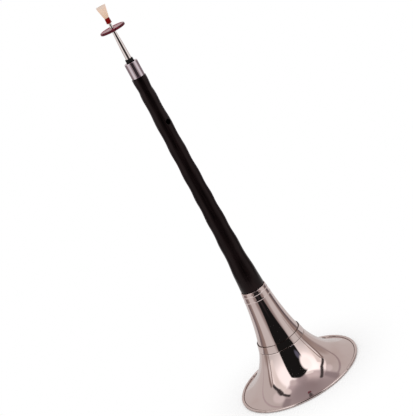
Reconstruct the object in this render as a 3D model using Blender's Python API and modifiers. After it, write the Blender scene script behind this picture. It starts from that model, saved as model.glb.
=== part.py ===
"""Suona: a double-reed horn with a turned wooden pipe and a detachable metal bell.

The horn stands on its bell rim. +Z runs up the bore to the reed, the origin is the centre of the
rim's flat underside, and -Y is the side that the thumb hole is turned towards. Units are metres.
"""
import math

import bmesh
import bpy

MM = 0.001
GAP = 0.3 * MM                    # clearance between pieces that touch
TIGHT_GAP = 0.15 * MM             # the same, on the thin pieces at the reed

# Facets round the axis
BELL_STEPS = 44
PIPE_STEPS = 28
SMALL_STEPS = 24
ROUND_POINTS = 4                  # points on the quarter round of an edge

# Bell: a horn curve for the outside of the sheet, from the rolled rim up to the mouth of the socket
BELL_RADIUS = 62.5 * MM
BELL_WALL = 0.8 * MM
BELL_TOP = 102.8 * MM
LIP_RADIUS = 60.88 * MM           # horn curve where it runs under the rim roll
LIP_HEIGHT = 1.0 * MM
HORN_CORE = 1.22 * MM             # radius that the curve tends to, far above the rim
HORN_REACH = 27.56 * MM           # height over which the curve closes in
HORN_POWER = 1.068
FLARE_POINTS = 11                 # points down the outside of each spun piece
THROAT_POINTS = 8

# Rim: the edge of the sheet rolled up and back over a wire, with a flat worn on its underside
ROLL_RADIUS = 1.3 * MM
ROLL_HEIGHT = 1.15 * MM
ROLL_WALL = 0.5 * MM
ROLL_START = -150.0               # degrees from the outward direction, where the sheet arrives
ROLL_END = 160.0
ROLL_MEETING = 0.4 * MM           # height of the horn's last point over its lip
RIM_WIRE_RADIUS = 0.5 * MM
WIRE_SIDES = 8

# Lap seam between the two spun pieces of the bell
SEAM_TOP = 48.2 * MM
SEAM_FOOT = 41.1 * MM
SEAM_PROUD = 0.9 * MM
SEAM_EDGE = 0.25 * MM             # corner taken off the collar's top edge
SPIGOT_FOOT = 43.3 * MM
SPIGOT_RADIUS = 22.4 * MM

# Top of the bell: a rolled edge and two fine beads under it
THROAT_ROLL = 0.6 * MM
THROAT_BEADS = (98.8 * MM, 93.0 * MM)
BEAD_WIDTH = 1.2 * MM
BEAD_PROUD = 0.3 * MM

# Wooden pipe: hollows at the finger holes, ridges between them, and a flare down to the bell
HOLE_HEIGHTS = tuple(z * MM for z in (300.5, 270.5, 243.9, 216.9, 194.5, 167.4, 141.9))
WAIST_HEIGHT = 321.4 * MM
SHOULDER_HEIGHT = 334.4 * MM
SHOULDER_RADIUS = 6.9 * MM
SHOULDER_LENGTH = 4.0 * MM        # straight stretch under the ferrule
STEM_TOP_RADIUS = 6.58 * MM       # mean radius at the waist
STEM_FOOT_RADIUS = 9.57 * MM      # mean radius at the lowest finger hole
STEM_BOW = (0.2, -1.2)            # how the mean leaves a straight taper, at the top and lower down
SCALLOP_DEPTH = 0.25 * MM         # hollows and ridges, either side of the mean
SCALLOP_POINTS = 6
FLARE_RADIUS = 11.1 * MM
FLARE_HEIGHT = 117.5 * MM
BELL_SHOULDER_RADIUS = 11.6 * MM
TENON_FOOT = 74.0 * MM
TENON_RADIUS = 10.6 * MM
TENON_TIP_RADIUS = 11.2 * MM
TENON_BEVEL = 1.0 * MM
PIPE_TOP = 348.8 * MM
PIPE_TOP_RADIUS = 5.5 * MM
SOCKET_RADIUS = 4.0 * MM
SOCKET_FOOT = 330.5 * MM
BORE_TOP_RADIUS = 3.3 * MM
BORE_FOOT_RADIUS = 8.2 * MM
HOLE_RADIUS = 2.75 * MM
THUMB_HEIGHT = 286.2 * MM
HOLE_TURN = math.radians(40.0)    # thumb hole, round from -Y towards +X
HOLE_SIDES = 16
CUTTER_START = 1.5 * MM
CUTTER_END = 14.0 * MM

# Packing sleeve on the tenon
PACKING_RADIUS = 11.6 * MM
PACKING_TOP = 100.8 * MM
PACKING_FOOT = 79.0 * MM

# Metal cap on the top of the pipe
FERRULE_RADIUS = 6.4 * MM
FERRULE_TOP = 350.0 * MM
FERRULE_FOOT = 334.7 * MM
FERRULE_CAP = 0.8 * MM
FERRULE_ROUND = 0.5 * MM
FERRULE_HOLE = 4.1 * MM

# Staple and the sleeve on its foot
STAPLE_WALL = 0.45 * MM
STAPLE_PROFILE = tuple((r * MM, z * MM) for r, z in (
    (1.2, 395.3), (1.25, 389.8), (1.7, 383.7), (2.1, 376.4), (2.5, 368.9), (2.8, 355.2)))
STAPLE_FOOT = 332.0 * MM
SLEEVE_RADIUS = 3.72 * MM
SLEEVE_TIP_RADIUS = 3.5 * MM
SLEEVE_TOP = 353.5 * MM
SLEEVE_FOOT = 333.0 * MM

# Lip disc
DISC_RADIUS = 12.2 * MM
DISC_HEIGHT = 383.9 * MM
DISC_THICKNESS = 2.4 * MM
DISC_ROUND = 0.9 * MM
DISC_RIM = 2.6 * MM               # width of the raised rim round the dished face
DISC_DISH = 0.4 * MM
DISC_HOLE = 2.0 * MM

# Reed: a cane tube, round in the binding and pressed flat to its tip
REED_FOOT = 389.6 * MM
REED_GRIP = 395.0 * MM            # top of the round part that the thread grips
REED_NECK = 395.6 * MM
REED_TIP = 407.0 * MM
REED_RADIUS = 1.75 * MM
REED_WALL = 0.33 * MM
REED_TIP_HALF_WIDTH = 4.75 * MM
REED_NECK_HALF_WIDTH = 2.35 * MM
REED_TIP_HALF_DEPTH = 0.9 * MM
REED_CORNER = 0.5 * MM            # taken off both corners of the tip
REED_ROWS = 7

# Binding: one thread, wound round the foot of the cane
THREAD_RADIUS = 0.2 * MM
THREAD_LOOPS = 5.5
THREAD_POINTS_A_LOOP = 24
BINDING_FOOT = 390.2 * MM
BINDING_TOP = 394.8 * MM
BINDING_SPREAD = 0.2 * MM         # extra radius at the foot of the binding


def clear_scene():
    """Remove every object, so that the file holds only the horn."""
    for obj in list(bpy.data.objects):
        bpy.data.objects.remove(obj, do_unlink=True)


def new_collection(name):
    """Add a collection to the scene."""
    collection = bpy.data.collections.new(name)
    bpy.context.scene.collection.children.link(collection)
    return collection


def new_material(name, colour, roughness, metallic):
    """Make a plain Principled material."""
    material = bpy.data.materials.new(name)
    material.use_nodes = True
    shader = material.node_tree.nodes["Principled BSDF"]
    shader.inputs["Base Color"].default_value = (*colour, 1.0)
    shader.inputs["Roughness"].default_value = roughness
    shader.inputs["Metallic"].default_value = metallic
    return material


def new_seat(name, height, collection):
    """Add an empty on the bore's axis, where a sub-assembly sits."""
    seat = bpy.data.objects.new(name, None)
    seat.location = (0.0, 0.0, height)
    seat.empty_display_size = 10.0 * MM
    collection.objects.link(seat)
    return seat


def add_piece(name, data, seat, material, collection):
    """Add an object under a seat and give it its material."""
    piece = bpy.data.objects.new(name, data)
    data.materials.append(material)
    piece.parent = seat
    collection.objects.link(piece)
    return piece


def turned(name, outline, steps, seat, material, collection):
    """Turn a closed outline of (radius, height) points round the bore's axis.

    The outline runs down its outer side and back up its inner side.
    """
    base = seat.location.z
    count = len(outline)
    mesh = bpy.data.meshes.new(name)
    points = [(radius, 0.0, height - base) for radius, height in outline]
    mesh.from_pydata(points, [(i, (i + 1) % count) for i in range(count)], [])
    piece = add_piece(name, mesh, seat, material, collection)
    screw = piece.modifiers.new("Turn", "SCREW")
    screw.axis = "Z"
    screw.angle = math.tau
    screw.steps = steps
    screw.render_steps = steps
    screw.use_merge_vertices = True
    screw.merge_threshold = 0.01 * MM
    screw.use_smooth_shade = True
    return piece


def made_mesh(piece):
    """Return a free copy of a piece's mesh with its modifiers applied."""
    graph = bpy.context.evaluated_depsgraph_get()
    mesh = bpy.data.meshes.new_from_object(piece.evaluated_get(graph))
    mesh.name = piece.name
    return mesh


def spaced(start, end, count):
    """Return count values, evenly spaced from start to end."""
    return [start + (end - start) * i / (count - 1) for i in range(count)]


def mix(low, high, share):
    """Return the value that lies a share of the way from low to high."""
    return low + (high - low) * share


def ease(start, end, share):
    """Return a point on a smooth S-shaped run between two (radius, height) points."""
    turn = share * share * (3.0 - 2.0 * share)
    return (mix(start[0], end[0], turn), mix(start[1], end[1], share))


def horn_radius(height):
    """Return the radius of the outside of the bell's sheet at a height."""
    closing = (1.0 + (height - LIP_HEIGHT) / HORN_REACH) ** -HORN_POWER
    return HORN_CORE + (LIP_RADIUS - HORN_CORE) * closing


def horn_inside(height):
    """Return the point inside the sheet, one wall in from the outside at a height."""
    step = 0.05 * MM
    slope = (horn_radius(height + step) - horn_radius(height - step)) / (2.0 * step)
    length = math.hypot(1.0, slope)
    return (horn_radius(height) - BELL_WALL / length, height + BELL_WALL * slope / length)


def horn_heights(low, high, count):
    """Return heights from high to low, closer together where the horn opens out."""
    return [low + (high - low) * share ** 2 for share in spaced(1.0, 0.0, count)]


def arc(centre, radius, start, end, count):
    """Return points on an arc, with angles in degrees from the outward direction."""
    angles = [math.radians(angle) for angle in spaced(start, end, count)]
    return [(centre[0] + radius * math.cos(a), centre[1] + radius * math.sin(a)) for a in angles]


def flare_outline():
    """Outline of the bell's lower piece: lap collar, horn, rolled rim and the inside."""
    centre = (BELL_RADIUS - ROLL_RADIUS, ROLL_HEIGHT)
    flat = math.degrees(math.asin(ROLL_HEIGHT / ROLL_RADIUS))
    collar_radius = horn_radius(SEAM_TOP) + SEAM_PROUD
    collar_inside = horn_radius(SEAM_TOP) + GAP
    heights = horn_heights(LIP_HEIGHT + ROLL_MEETING, SEAM_FOOT, FLARE_POINTS)
    points = [(collar_radius - SEAM_EDGE, SEAM_TOP), (collar_radius, SEAM_TOP - SEAM_EDGE)]
    points += [(horn_radius(z), z) for z in heights]
    points += arc(centre, ROLL_RADIUS - ROLL_WALL, ROLL_START, ROLL_END, 2 * ROUND_POINTS + 2)
    points += arc(centre, ROLL_RADIUS, ROLL_END, 0.0, 2 * ROUND_POINTS)
    points += arc(centre, ROLL_RADIUS, 0.0, -flat, ROUND_POINTS)[1:]
    points += arc(centre, ROLL_RADIUS, flat - 180.0, ROLL_START, ROUND_POINTS - 1)
    points += [horn_inside(z) for z in reversed(heights)]
    points += [(SPIGOT_RADIUS + GAP, SPIGOT_FOOT - GAP), (collar_inside, SEAM_TOP)]
    return points


def throat_outline():
    """Outline of the bell's upper piece: rolled edge, beads, cone and the spigot in the lap."""
    roll_centre = (horn_radius(BELL_TOP) - BELL_WALL + THROAT_ROLL, BELL_TOP - THROAT_ROLL)
    half = BEAD_WIDTH / 2.0
    points = arc(roll_centre, THROAT_ROLL, 90.0, -60.0, ROUND_POINTS + 1)
    for bead in THROAT_BEADS:
        points.append((horn_radius(bead + half), bead + half))
        points.append((horn_radius(bead) + BEAD_PROUD, bead))
        points.append((horn_radius(bead - half), bead - half))
    below = THROAT_BEADS[-1] - 2.0 * BEAD_WIDTH
    points += [(horn_radius(z), z) for z in horn_heights(SEAM_TOP, below, THROAT_POINTS)]
    points += [(SPIGOT_RADIUS, SPIGOT_FOOT), (SPIGOT_RADIUS - BELL_WALL, SPIGOT_FOOT)]
    points += [horn_inside(z) for z in reversed(horn_heights(SEAM_TOP, BELL_TOP, THROAT_POINTS))]
    points[-1] = (roll_centre[0] - THROAT_ROLL, roll_centre[1])
    return points


def stem_radius(height):
    """Return the pipe's radius between the waist and the lowest finger hole."""
    troughs = (WAIST_HEIGHT, *HOLE_HEIGHTS)
    along = (WAIST_HEIGHT - height) / (WAIST_HEIGHT - troughs[-1])
    bow = along * (1.0 - along) * (STEM_BOW[0] + STEM_BOW[1] * along)
    mean = mix(STEM_TOP_RADIUS, STEM_FOOT_RADIUS, along + bow)
    index = sum(1 for trough in troughs[1:-1] if height <= trough)
    share = (troughs[index] - height) / (troughs[index] - troughs[index + 1])
    return mean - SCALLOP_DEPTH * math.cos(math.tau * share)


def pipe_outline():
    """Outline of the wooden pipe: tenons at both ends, scalloped stem, flare and bore."""
    troughs = (WAIST_HEIGHT, *HOLE_HEIGHTS)
    points = [(PIPE_TOP_RADIUS, PIPE_TOP), (PIPE_TOP_RADIUS, SHOULDER_HEIGHT)]
    points += [(SHOULDER_RADIUS - GAP, SHOULDER_HEIGHT), (SHOULDER_RADIUS, SHOULDER_HEIGHT - GAP)]
    straight_foot = SHOULDER_HEIGHT - SHOULDER_LENGTH
    points += [ease((SHOULDER_RADIUS, straight_foot), (stem_radius(WAIST_HEIGHT), WAIST_HEIGHT), share)
               for share in spaced(0.0, 1.0, ROUND_POINTS)[:-1]]
    for high, low in zip(troughs, troughs[1:]):
        heights = spaced(high, low, SCALLOP_POINTS + 1)[:-1]
        points += [(stem_radius(z), z) for z in heights]
    lowest = troughs[-1]
    points += [ease((stem_radius(lowest), lowest), (FLARE_RADIUS, FLARE_HEIGHT), share)
               for share in spaced(0.0, 1.0, SCALLOP_POINTS)]
    points += [(BELL_SHOULDER_RADIUS, PACKING_TOP + 2.0 * GAP), (TENON_RADIUS, PACKING_TOP + GAP)]
    points += [(TENON_RADIUS, PACKING_FOOT - GAP), (TENON_TIP_RADIUS, PACKING_FOOT - GAP)]
    points += [(TENON_TIP_RADIUS, TENON_FOOT + TENON_BEVEL), (TENON_TIP_RADIUS - TENON_BEVEL, TENON_FOOT)]
    points += [(BORE_FOOT_RADIUS, TENON_FOOT), (BORE_TOP_RADIUS, SOCKET_FOOT)]
    points += [(SOCKET_RADIUS, SOCKET_FOOT), (SOCKET_RADIUS, PIPE_TOP)]
    return points


def packing_outline():
    """Outline of the sleeve in the tenon's recess."""
    inside = TENON_RADIUS + GAP
    return [(PACKING_RADIUS, PACKING_TOP), (PACKING_RADIUS, PACKING_FOOT),
            (inside, PACKING_FOOT), (inside, PACKING_TOP)]


def ferrule_outline():
    """Outline of the metal cap on the top of the pipe."""
    inside = PIPE_TOP_RADIUS + GAP
    corner = (FERRULE_RADIUS - FERRULE_ROUND, FERRULE_TOP - FERRULE_ROUND)
    points = arc(corner, FERRULE_ROUND, 90.0, 0.0, ROUND_POINTS)
    points += [(FERRULE_RADIUS, FERRULE_FOOT), (inside, FERRULE_FOOT)]
    points += [(inside, FERRULE_TOP - FERRULE_CAP), (FERRULE_HOLE, FERRULE_TOP - FERRULE_CAP)]
    points.append((FERRULE_HOLE, FERRULE_TOP))
    return points


def staple_outline():
    """Outline of the tapered tube, with a straight foot inside its sleeve."""
    outer = list(STAPLE_PROFILE) + [(STAPLE_PROFILE[-1][0], STAPLE_FOOT)]
    inner = [(radius - STAPLE_WALL, height) for radius, height in reversed(outer)]
    return outer + inner


def sleeve_outline():
    """Outline of the packing sleeve on the staple's foot."""
    inside = STAPLE_PROFILE[-1][0] + GAP
    return [(SLEEVE_RADIUS, SLEEVE_TOP), (SLEEVE_RADIUS, FERRULE_TOP), (SLEEVE_TIP_RADIUS, SLEEVE_FOOT),
            (inside, SLEEVE_FOOT), (inside, SLEEVE_TOP)]


def disc_outline():
    """Outline of the lip disc: a round edge and a slightly dished upper face."""
    top = DISC_HEIGHT + DISC_THICKNESS / 2.0
    foot = DISC_HEIGHT - DISC_THICKNESS / 2.0
    edge = DISC_RADIUS - DISC_ROUND
    points = [(DISC_HOLE, top - DISC_DISH), (DISC_RADIUS - DISC_RIM, top - DISC_DISH)]
    points += arc((edge, top - DISC_ROUND), DISC_ROUND, 90.0, 0.0, ROUND_POINTS)
    points += arc((edge, foot + DISC_ROUND), DISC_ROUND, 0.0, -90.0, ROUND_POINTS)
    points.append((DISC_HOLE, foot))
    return points


def reed_outline():
    """Outline of the cane tube before it is pressed flat."""
    blade = spaced(REED_TIP - REED_CORNER, REED_NECK, REED_ROWS)
    heights = [REED_TIP, *blade, REED_GRIP, REED_FOOT]
    outer = [(REED_RADIUS, height) for height in heights]
    inner = [(REED_RADIUS - REED_WALL, height) for height in reversed(heights)]
    return outer + inner


def press_reed(mesh, base):
    """Press a round tube flat above its neck, into a fan that is widest at its tip."""
    for vertex in mesh.vertices:
        height = vertex.co.z + base
        along = max(0.0, (height - REED_NECK) / (REED_TIP - REED_NECK))
        spread = min(1.0, max(0.0, (height - REED_GRIP) / (REED_NECK - REED_GRIP)))
        neck = mix(REED_RADIUS, REED_NECK_HALF_WIDTH, spread)
        corner = max(0.0, height - REED_TIP + REED_CORNER)
        vertex.co.x *= (mix(neck, REED_TIP_HALF_WIDTH, along) - corner) / REED_RADIUS
        vertex.co.y *= mix(REED_RADIUS, REED_TIP_HALF_DEPTH, along) / REED_RADIUS


def thread_points():
    """Return the centre line of the binding thread, with straight ends along its run."""
    count = round(THREAD_LOOPS * THREAD_POINTS_A_LOOP)
    lay = REED_RADIUS + TIGHT_GAP + THREAD_RADIUS
    points = []
    for i in range(count + 1):
        share = i / count
        angle = math.tau * THREAD_LOOPS * share
        radius = lay + BINDING_SPREAD * (1.0 - share)
        height = mix(BINDING_FOOT, BINDING_TOP, share)
        points.append((radius * math.cos(angle), radius * math.sin(angle), height))
    first = run_on(points[1], points[0])
    last = run_on(points[-2], points[-1])
    return [first, *points, last]


def run_on(before, end):
    """Return the point one thread diameter beyond the end of a line."""
    length = math.dist(before, end)
    return tuple(e + (e - b) * 2.0 * THREAD_RADIUS / length for b, e in zip(before, end))


def least_gap(points):
    """Return the least gap between the thread's turns, measured on its points."""
    apart = THREAD_POINTS_A_LOOP // 2
    pairs = ((a, b) for i, a in enumerate(points) for b in points[i + apart:])
    return min(math.dist(a, b) for a, b in pairs) - 2.0 * THREAD_RADIUS


def add_thread(seat, material, collection):
    """Wind the binding as one unbroken tube and print its least gap to itself."""
    points = thread_points()
    curve = bpy.data.curves.new("reed_binding", "CURVE")
    curve.dimensions = "3D"
    curve.bevel_depth = THREAD_RADIUS
    curve.bevel_resolution = 1
    curve.use_fill_caps = True
    spline = curve.splines.new("POLY")
    spline.points.add(len(points) - 1)
    for knot, (x, y, z) in zip(spline.points, points):
        knot.co = (x, y, z - seat.location.z, 1.0)
    print(f"reed_binding: least gap {least_gap(points) / MM:.2f} mm over {THREAD_LOOPS} loops")
    return add_piece("reed_binding", curve, seat, material, collection)


def add_rim_wire(seat, material, collection):
    """Add the wire inside the rolled rim."""
    bpy.ops.mesh.primitive_torus_add(
        major_radius=BELL_RADIUS - ROLL_RADIUS, minor_radius=RIM_WIRE_RADIUS,
        major_segments=BELL_STEPS, minor_segments=WIRE_SIDES, location=(0.0, 0.0, ROLL_HEIGHT))
    wire = bpy.context.object
    wire.name = "rim_wire"
    wire.data.name = "rim_wire"
    wire.data.materials.append(material)
    wire.data.shade_smooth()
    wire.parent = seat
    for owner in list(wire.users_collection):
        owner.objects.unlink(wire)
    collection.objects.link(wire)
    return wire


def add_hole_cutter(seat, collection):
    """Make the drills for the finger holes and, across the pipe, the thumb hole."""
    drills = [(height, HOLE_TURN + math.pi) for height in HOLE_HEIGHTS]
    drills.append((THUMB_HEIGHT, HOLE_TURN))
    middle = (CUTTER_START + CUTTER_END) / 2.0
    shape = bmesh.new()
    for height, turn in drills:
        drill = bmesh.ops.create_cone(
            shape, cap_ends=True, segments=HOLE_SIDES, radius1=HOLE_RADIUS, radius2=HOLE_RADIUS,
            depth=CUTTER_END - CUTTER_START)
        for vertex in drill["verts"]:
            across, along, out = vertex.co.x, vertex.co.y, vertex.co.z + middle
            vertex.co.x = out * math.sin(turn) + across * math.cos(turn)
            vertex.co.y = across * math.sin(turn) - out * math.cos(turn)
            vertex.co.z = height + along - seat.location.z
    bmesh.ops.recalc_face_normals(shape, faces=shape.faces)
    mesh = bpy.data.meshes.new("hole_drills")
    shape.to_mesh(mesh)
    shape.free()
    cutter = bpy.data.objects.new("hole_drills", mesh)
    cutter.parent = seat
    cutter.hide_render = True
    cutter.display_type = "WIRE"
    collection.objects.link(cutter)
    return cutter


def build_bell(parts):
    """Build the bell's two spun pieces and the wire in its rim."""
    nickel = new_material("bell_nickel", (0.78, 0.73, 0.71), 0.08, 1.0)
    wire_steel = new_material("rim_steel", (0.45, 0.45, 0.46), 0.4, 1.0)
    seat = new_seat("bell_foot", 0.0, parts)
    turned("bell_flare", flare_outline(), BELL_STEPS, seat, nickel, parts)
    turned("bell_throat", throat_outline(), BELL_STEPS, seat, nickel.copy(), parts)
    add_rim_wire(seat, wire_steel, parts)
    return seat


def build_pipe(bell_seat, parts, cutters):
    """Build the wooden pipe with its holes, its ferrule and the packing on its tenon."""
    wood = new_material("black_wood", (0.012, 0.010, 0.010), 0.35, 0.0)
    cork = new_material("tenon_cork", (0.30, 0.19, 0.10), 0.8, 0.0)
    nickel = new_material("ferrule_nickel", (0.74, 0.71, 0.72), 0.12, 1.0)
    seat = new_seat("pipe_seat", BELL_TOP, parts)
    pipe = turned("wood_body", pipe_outline(), PIPE_STEPS, seat, wood, parts)
    drill = pipe.modifiers.new("Holes", "BOOLEAN")
    drill.operation = "DIFFERENCE"
    drill.solver = "EXACT"
    drill.object = add_hole_cutter(seat, cutters)
    turned("tenon_packing", packing_outline(), PIPE_STEPS, seat, cork, parts)
    turned("top_ferrule", ferrule_outline(), PIPE_STEPS, seat, nickel, parts)
    sit_on(seat, bell_seat)
    return seat


def build_staple(pipe_seat, parts):
    """Build the staple, the sleeve on its foot and the lip disc."""
    metal = new_material("staple_metal", (0.80, 0.78, 0.77), 0.1, 1.0)
    rubber = new_material("sleeve_black", (0.01, 0.01, 0.01), 0.7, 0.0)
    lacquer = new_material("disc_lacquer", (0.06, 0.012, 0.018), 0.15, 0.0)
    seat = new_seat("staple_seat", FERRULE_TOP, parts)
    turned("staple_tube", staple_outline(), SMALL_STEPS, seat, metal, parts)
    turned("staple_packing", sleeve_outline(), SMALL_STEPS, seat, rubber, parts)
    disc_seat = new_seat("disc_seat", DISC_HEIGHT, parts)
    turned("lip_disc", disc_outline(), PIPE_STEPS, disc_seat, lacquer, parts)
    sit_on(seat, pipe_seat)
    sit_on(disc_seat, seat)
    return seat


def build_reed(staple_seat, parts):
    """Build the cane reed and its binding."""
    cane = new_material("reed_cane", (0.80, 0.56, 0.40), 0.6, 0.0)
    thread = new_material("binding_red", (0.28, 0.008, 0.006), 0.3, 0.0)
    seat = new_seat("reed_seat", REED_FOOT, parts)
    tube = turned("reed_cane", reed_outline(), SMALL_STEPS, seat, cane, parts)
    mesh = made_mesh(tube)
    press_reed(mesh, REED_FOOT)
    tube.modifiers.clear()
    tube.data = mesh
    add_thread(seat, thread, parts)
    sit_on(seat, staple_seat)


def sit_on(seat, parent_seat):
    """Hang one seat on another without moving it."""
    height = seat.location.z
    base = parent_seat
    while base is not None:
        height -= base.location.z
        base = base.parent
    seat.parent = parent_seat
    seat.location.z = height


def main():
    """Build the whole horn."""
    clear_scene()
    parts = new_collection("suona")
    cutters = new_collection("suona_cutters")
    bell_seat = build_bell(parts)
    pipe_seat = build_pipe(bell_seat, parts, cutters)
    staple_seat = build_staple(pipe_seat, parts)
    build_reed(staple_seat, parts)


main()
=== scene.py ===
"""Looks of the suona: fine skins for its turned pieces, their finishes, and the tent that lights them.

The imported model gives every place, in metres, with +Z up the bore and the bell's rim on the floor.
Each piece made here stands for one solid of that model and rides on the same body.
"""

import logging
import math
from collections.abc import Sequence
from dataclasses import dataclass
from enum import Enum

import bmesh
import bpy
from mathutils import Matrix, Vector


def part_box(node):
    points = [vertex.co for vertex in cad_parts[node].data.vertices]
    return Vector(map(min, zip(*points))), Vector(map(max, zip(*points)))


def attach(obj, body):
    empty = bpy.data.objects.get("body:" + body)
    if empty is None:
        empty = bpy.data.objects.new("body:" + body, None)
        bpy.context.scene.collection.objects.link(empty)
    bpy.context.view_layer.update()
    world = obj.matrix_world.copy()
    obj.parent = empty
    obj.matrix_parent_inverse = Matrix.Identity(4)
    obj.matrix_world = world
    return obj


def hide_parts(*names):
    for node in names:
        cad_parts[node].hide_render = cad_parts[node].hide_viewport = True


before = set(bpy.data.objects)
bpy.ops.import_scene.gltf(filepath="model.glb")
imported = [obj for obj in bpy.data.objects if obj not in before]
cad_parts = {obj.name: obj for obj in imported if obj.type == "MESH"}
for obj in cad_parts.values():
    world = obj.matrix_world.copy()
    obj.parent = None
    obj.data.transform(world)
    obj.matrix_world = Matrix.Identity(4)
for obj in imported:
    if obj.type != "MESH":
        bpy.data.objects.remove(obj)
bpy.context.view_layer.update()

LOG = logging.getLogger("suona")

MM = 0.001
GAP = 0.3 * MM                     # clearance between pieces that touch
TIGHT_GAP = 0.15 * MM              # the same, on the thin pieces at the reed
MERGE = 0.001 * MM                 # points closer than this are one point
SHARP = math.radians(38.0)         # edges that turn more than this are shaded as corners
UP = (0.0, 0.0, 1.0)
ORIGIN = (0.0, 0.0, 0.0)
SMOOTH = {"interpolation_type": "SMOOTHSTEP"}         # settings of a Map Range node that eases in and out
MIX_FACTOR, MIX_A, MIX_B, MIX_RESULT = 0, 6, 7, 2     # a colour Mix node's sockets

Point = tuple[float, float]        # (radius, height) on an outline
Outline = list[Point]
Span = tuple[float, float]         # the two ends of a range
Angles = tuple[float, float]       # azimuth and elevation, in degrees
Colour = tuple[float, float, float, float]
Tree = bpy.types.NodeTree
Node = bpy.types.Node
Socket = bpy.types.NodeSocket
Shape = bmesh.types.BMesh
Piece = bpy.types.Object
Layer = tuple[Colour, list[Socket]]     # a colour, and the masks that it is laid on through


class Place(Enum):
    """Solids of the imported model, each with the body it is on and its material slot."""

    FLARE = ("bell_flare", "bell", "bell_nickel")
    THROAT = ("bell_throat", "bell", "bell_nickel")
    RIM_WIRE = ("rim_wire", "bell", "rim_steel")
    WOOD = ("wood_body", "pipe", "black_wood")
    FERRULE = ("top_ferrule", "pipe", "ferrule_nickel")
    TENON_PACKING = ("tenon_packing", "pipe", "tenon_cork")
    STAPLE = ("staple_tube", "staple", "staple_metal")
    SLEEVE = ("staple_packing", "staple", "sleeve_black")
    DISC = ("lip_disc", "lip_disc", "disc_lacquer")
    CANE = ("reed_cane", "reed", "reed_cane")
    BINDING = ("reed_binding", "reed", "binding_red")

    @property
    def node(self) -> str:
        """Name of the solid."""
        return self.value[0]

    @property
    def body(self) -> str:
        """Name of the body that the solid is on."""
        return self.value[1]

    @property
    def slot(self) -> str:
        """Name of the record's material slot."""
        return self.value[2]

    @property
    def foot(self) -> float:
        """Lowest height of the solid."""
        return BOXES[self][0].z

    @property
    def top(self) -> float:
        """Highest height of the solid."""
        return BOXES[self][1].z

    @property
    def radius(self) -> float:
        """Largest reach of the solid along +X."""
        return BOXES[self][1].x


BOXES = {place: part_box(place.node) for place in Place}


class Detail(Enum):
    """Octaves of finer patches in a random pattern."""

    NONE = 0.0
    LITTLE = 1.0
    SOME = 2.0
    FULL = 3.0


class Side(Enum):
    """Side of an edge where a mask is 1, as the mask's values under the edge and over it."""

    ABOVE = (0.0, 1.0)
    BELOW = (1.0, 0.0)


def linear(hex_colour: str, strength: float = 1.0) -> Colour:
    """Turn an sRGB hex colour into a linear one.

    Args:
        hex_colour: Colour such as "#DCCDC8".
        strength: Factor on the linear values.

    Returns:
        Linear red, green, blue and an alpha of 1.
    """
    values = [int(hex_colour[i:i + 2], 16) / 255.0 for i in (1, 3, 5)]
    lit = [v / 12.92 if v <= 0.04045 else ((v + 0.055) / 1.055) ** 2.4 for v in values]
    return (*(v * strength for v in lit), 1.0)


def add_node(tree: Tree, kind: str, settings: dict | None = None, inputs: dict | None = None) -> Node:
    """Add a node with its settings and links.

    Args:
        tree: Node tree that gets the node.
        kind: Node type, such as "ShaderNodeMath".
        settings: Node attributes and their values.
        inputs: Input names or numbers, each with a value or with an output socket to link.

    Returns:
        The new node.
    """
    node = tree.nodes.new(kind)
    for name, value in (settings or {}).items():
        setattr(node, name, value)
    for name, value in (inputs or {}).items():
        if isinstance(value, Socket):
            tree.links.new(value, node.inputs[name])
        else:
            node.inputs[name].default_value = value
    return node


def spaced(start: float, end: float, count: int) -> list[float]:
    """Return count values, evenly spaced from start to end."""
    return [start + (end - start) * i / (count - 1) for i in range(count)]


def mix(low: float, high: float, share: float) -> float:
    """Return the value that lies a share of the way from low to high."""
    return low + (high - low) * share


def clamped(share: float) -> float:
    """Return a share, held between 0 and 1."""
    return min(1.0, max(0.0, share))


def eased(share: float) -> float:
    """Return a share from 0 to 1 that starts and ends gently."""
    return share * share * (3.0 - 2.0 * share)


def ease(start: Point, end: Point, share: float) -> Point:
    """Return a point on a smooth S-shaped run between two outline points."""
    return (mix(start[0], end[0], eased(share)), mix(start[1], end[1], share))


def arc(centre: Point, radius: float, start: float, end: float, count: int) -> Outline:
    """Return points on an arc of an outline.

    Args:
        centre: Centre of the arc.
        radius: Radius of the arc.
        start: First angle, in degrees from the outward direction.
        end: Last angle.
        count: How many points.

    Returns:
        The points, from start to end.
    """
    angles = [math.radians(angle) for angle in spaced(start, end, count)]
    return [(centre[0] + radius * math.cos(a), centre[1] + radius * math.sin(a)) for a in angles]


def circle(centre: Point, radius: float, sides: int) -> Outline:
    """Return the points of a closed circle."""
    return arc(centre, radius, 0.0, 360.0, sides + 1)[:-1]


def smooth_run(points: Sequence[Point], count: int) -> Outline:
    """Return a smooth run through a few outline points.

    Args:
        points: Points that the run goes through.
        count: Points on each stretch.

    Returns:
        The denser run, with the same ends.
    """
    ends = [points[0], *points, points[-1]]
    run: Outline = []
    for before, start, end, after in zip(ends, ends[1:], ends[2:], ends[3:]):
        for share in spaced(0.0, 1.0, count + 1)[:-1]:
            run.append(tuple(
                0.5 * (2.0 * s + (e - b) * share + (2.0 * b - 5.0 * s + 4.0 * e - a) * share ** 2
                       + (3.0 * s - b - 3.0 * e + a) * share ** 3)
                for b, s, e, a in zip(before, start, end, after)))
    return [*run, points[-1]]


def outline_ring(shape: Shape, outline: Sequence[Point]) -> list:
    """Add a closed outline to a shape, in the plane through the bore and +X.

    Args:
        shape: Shape that gets the outline.
        outline: Points of (radius, height).

    Returns:
        The new vertices and edges, ready to be spun.
    """
    ring = [shape.verts.new((radius, 0.0, height)) for radius, height in outline]
    return ring + [shape.edges.new(pair) for pair in zip(ring, ring[1:] + ring[:1])]


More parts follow.
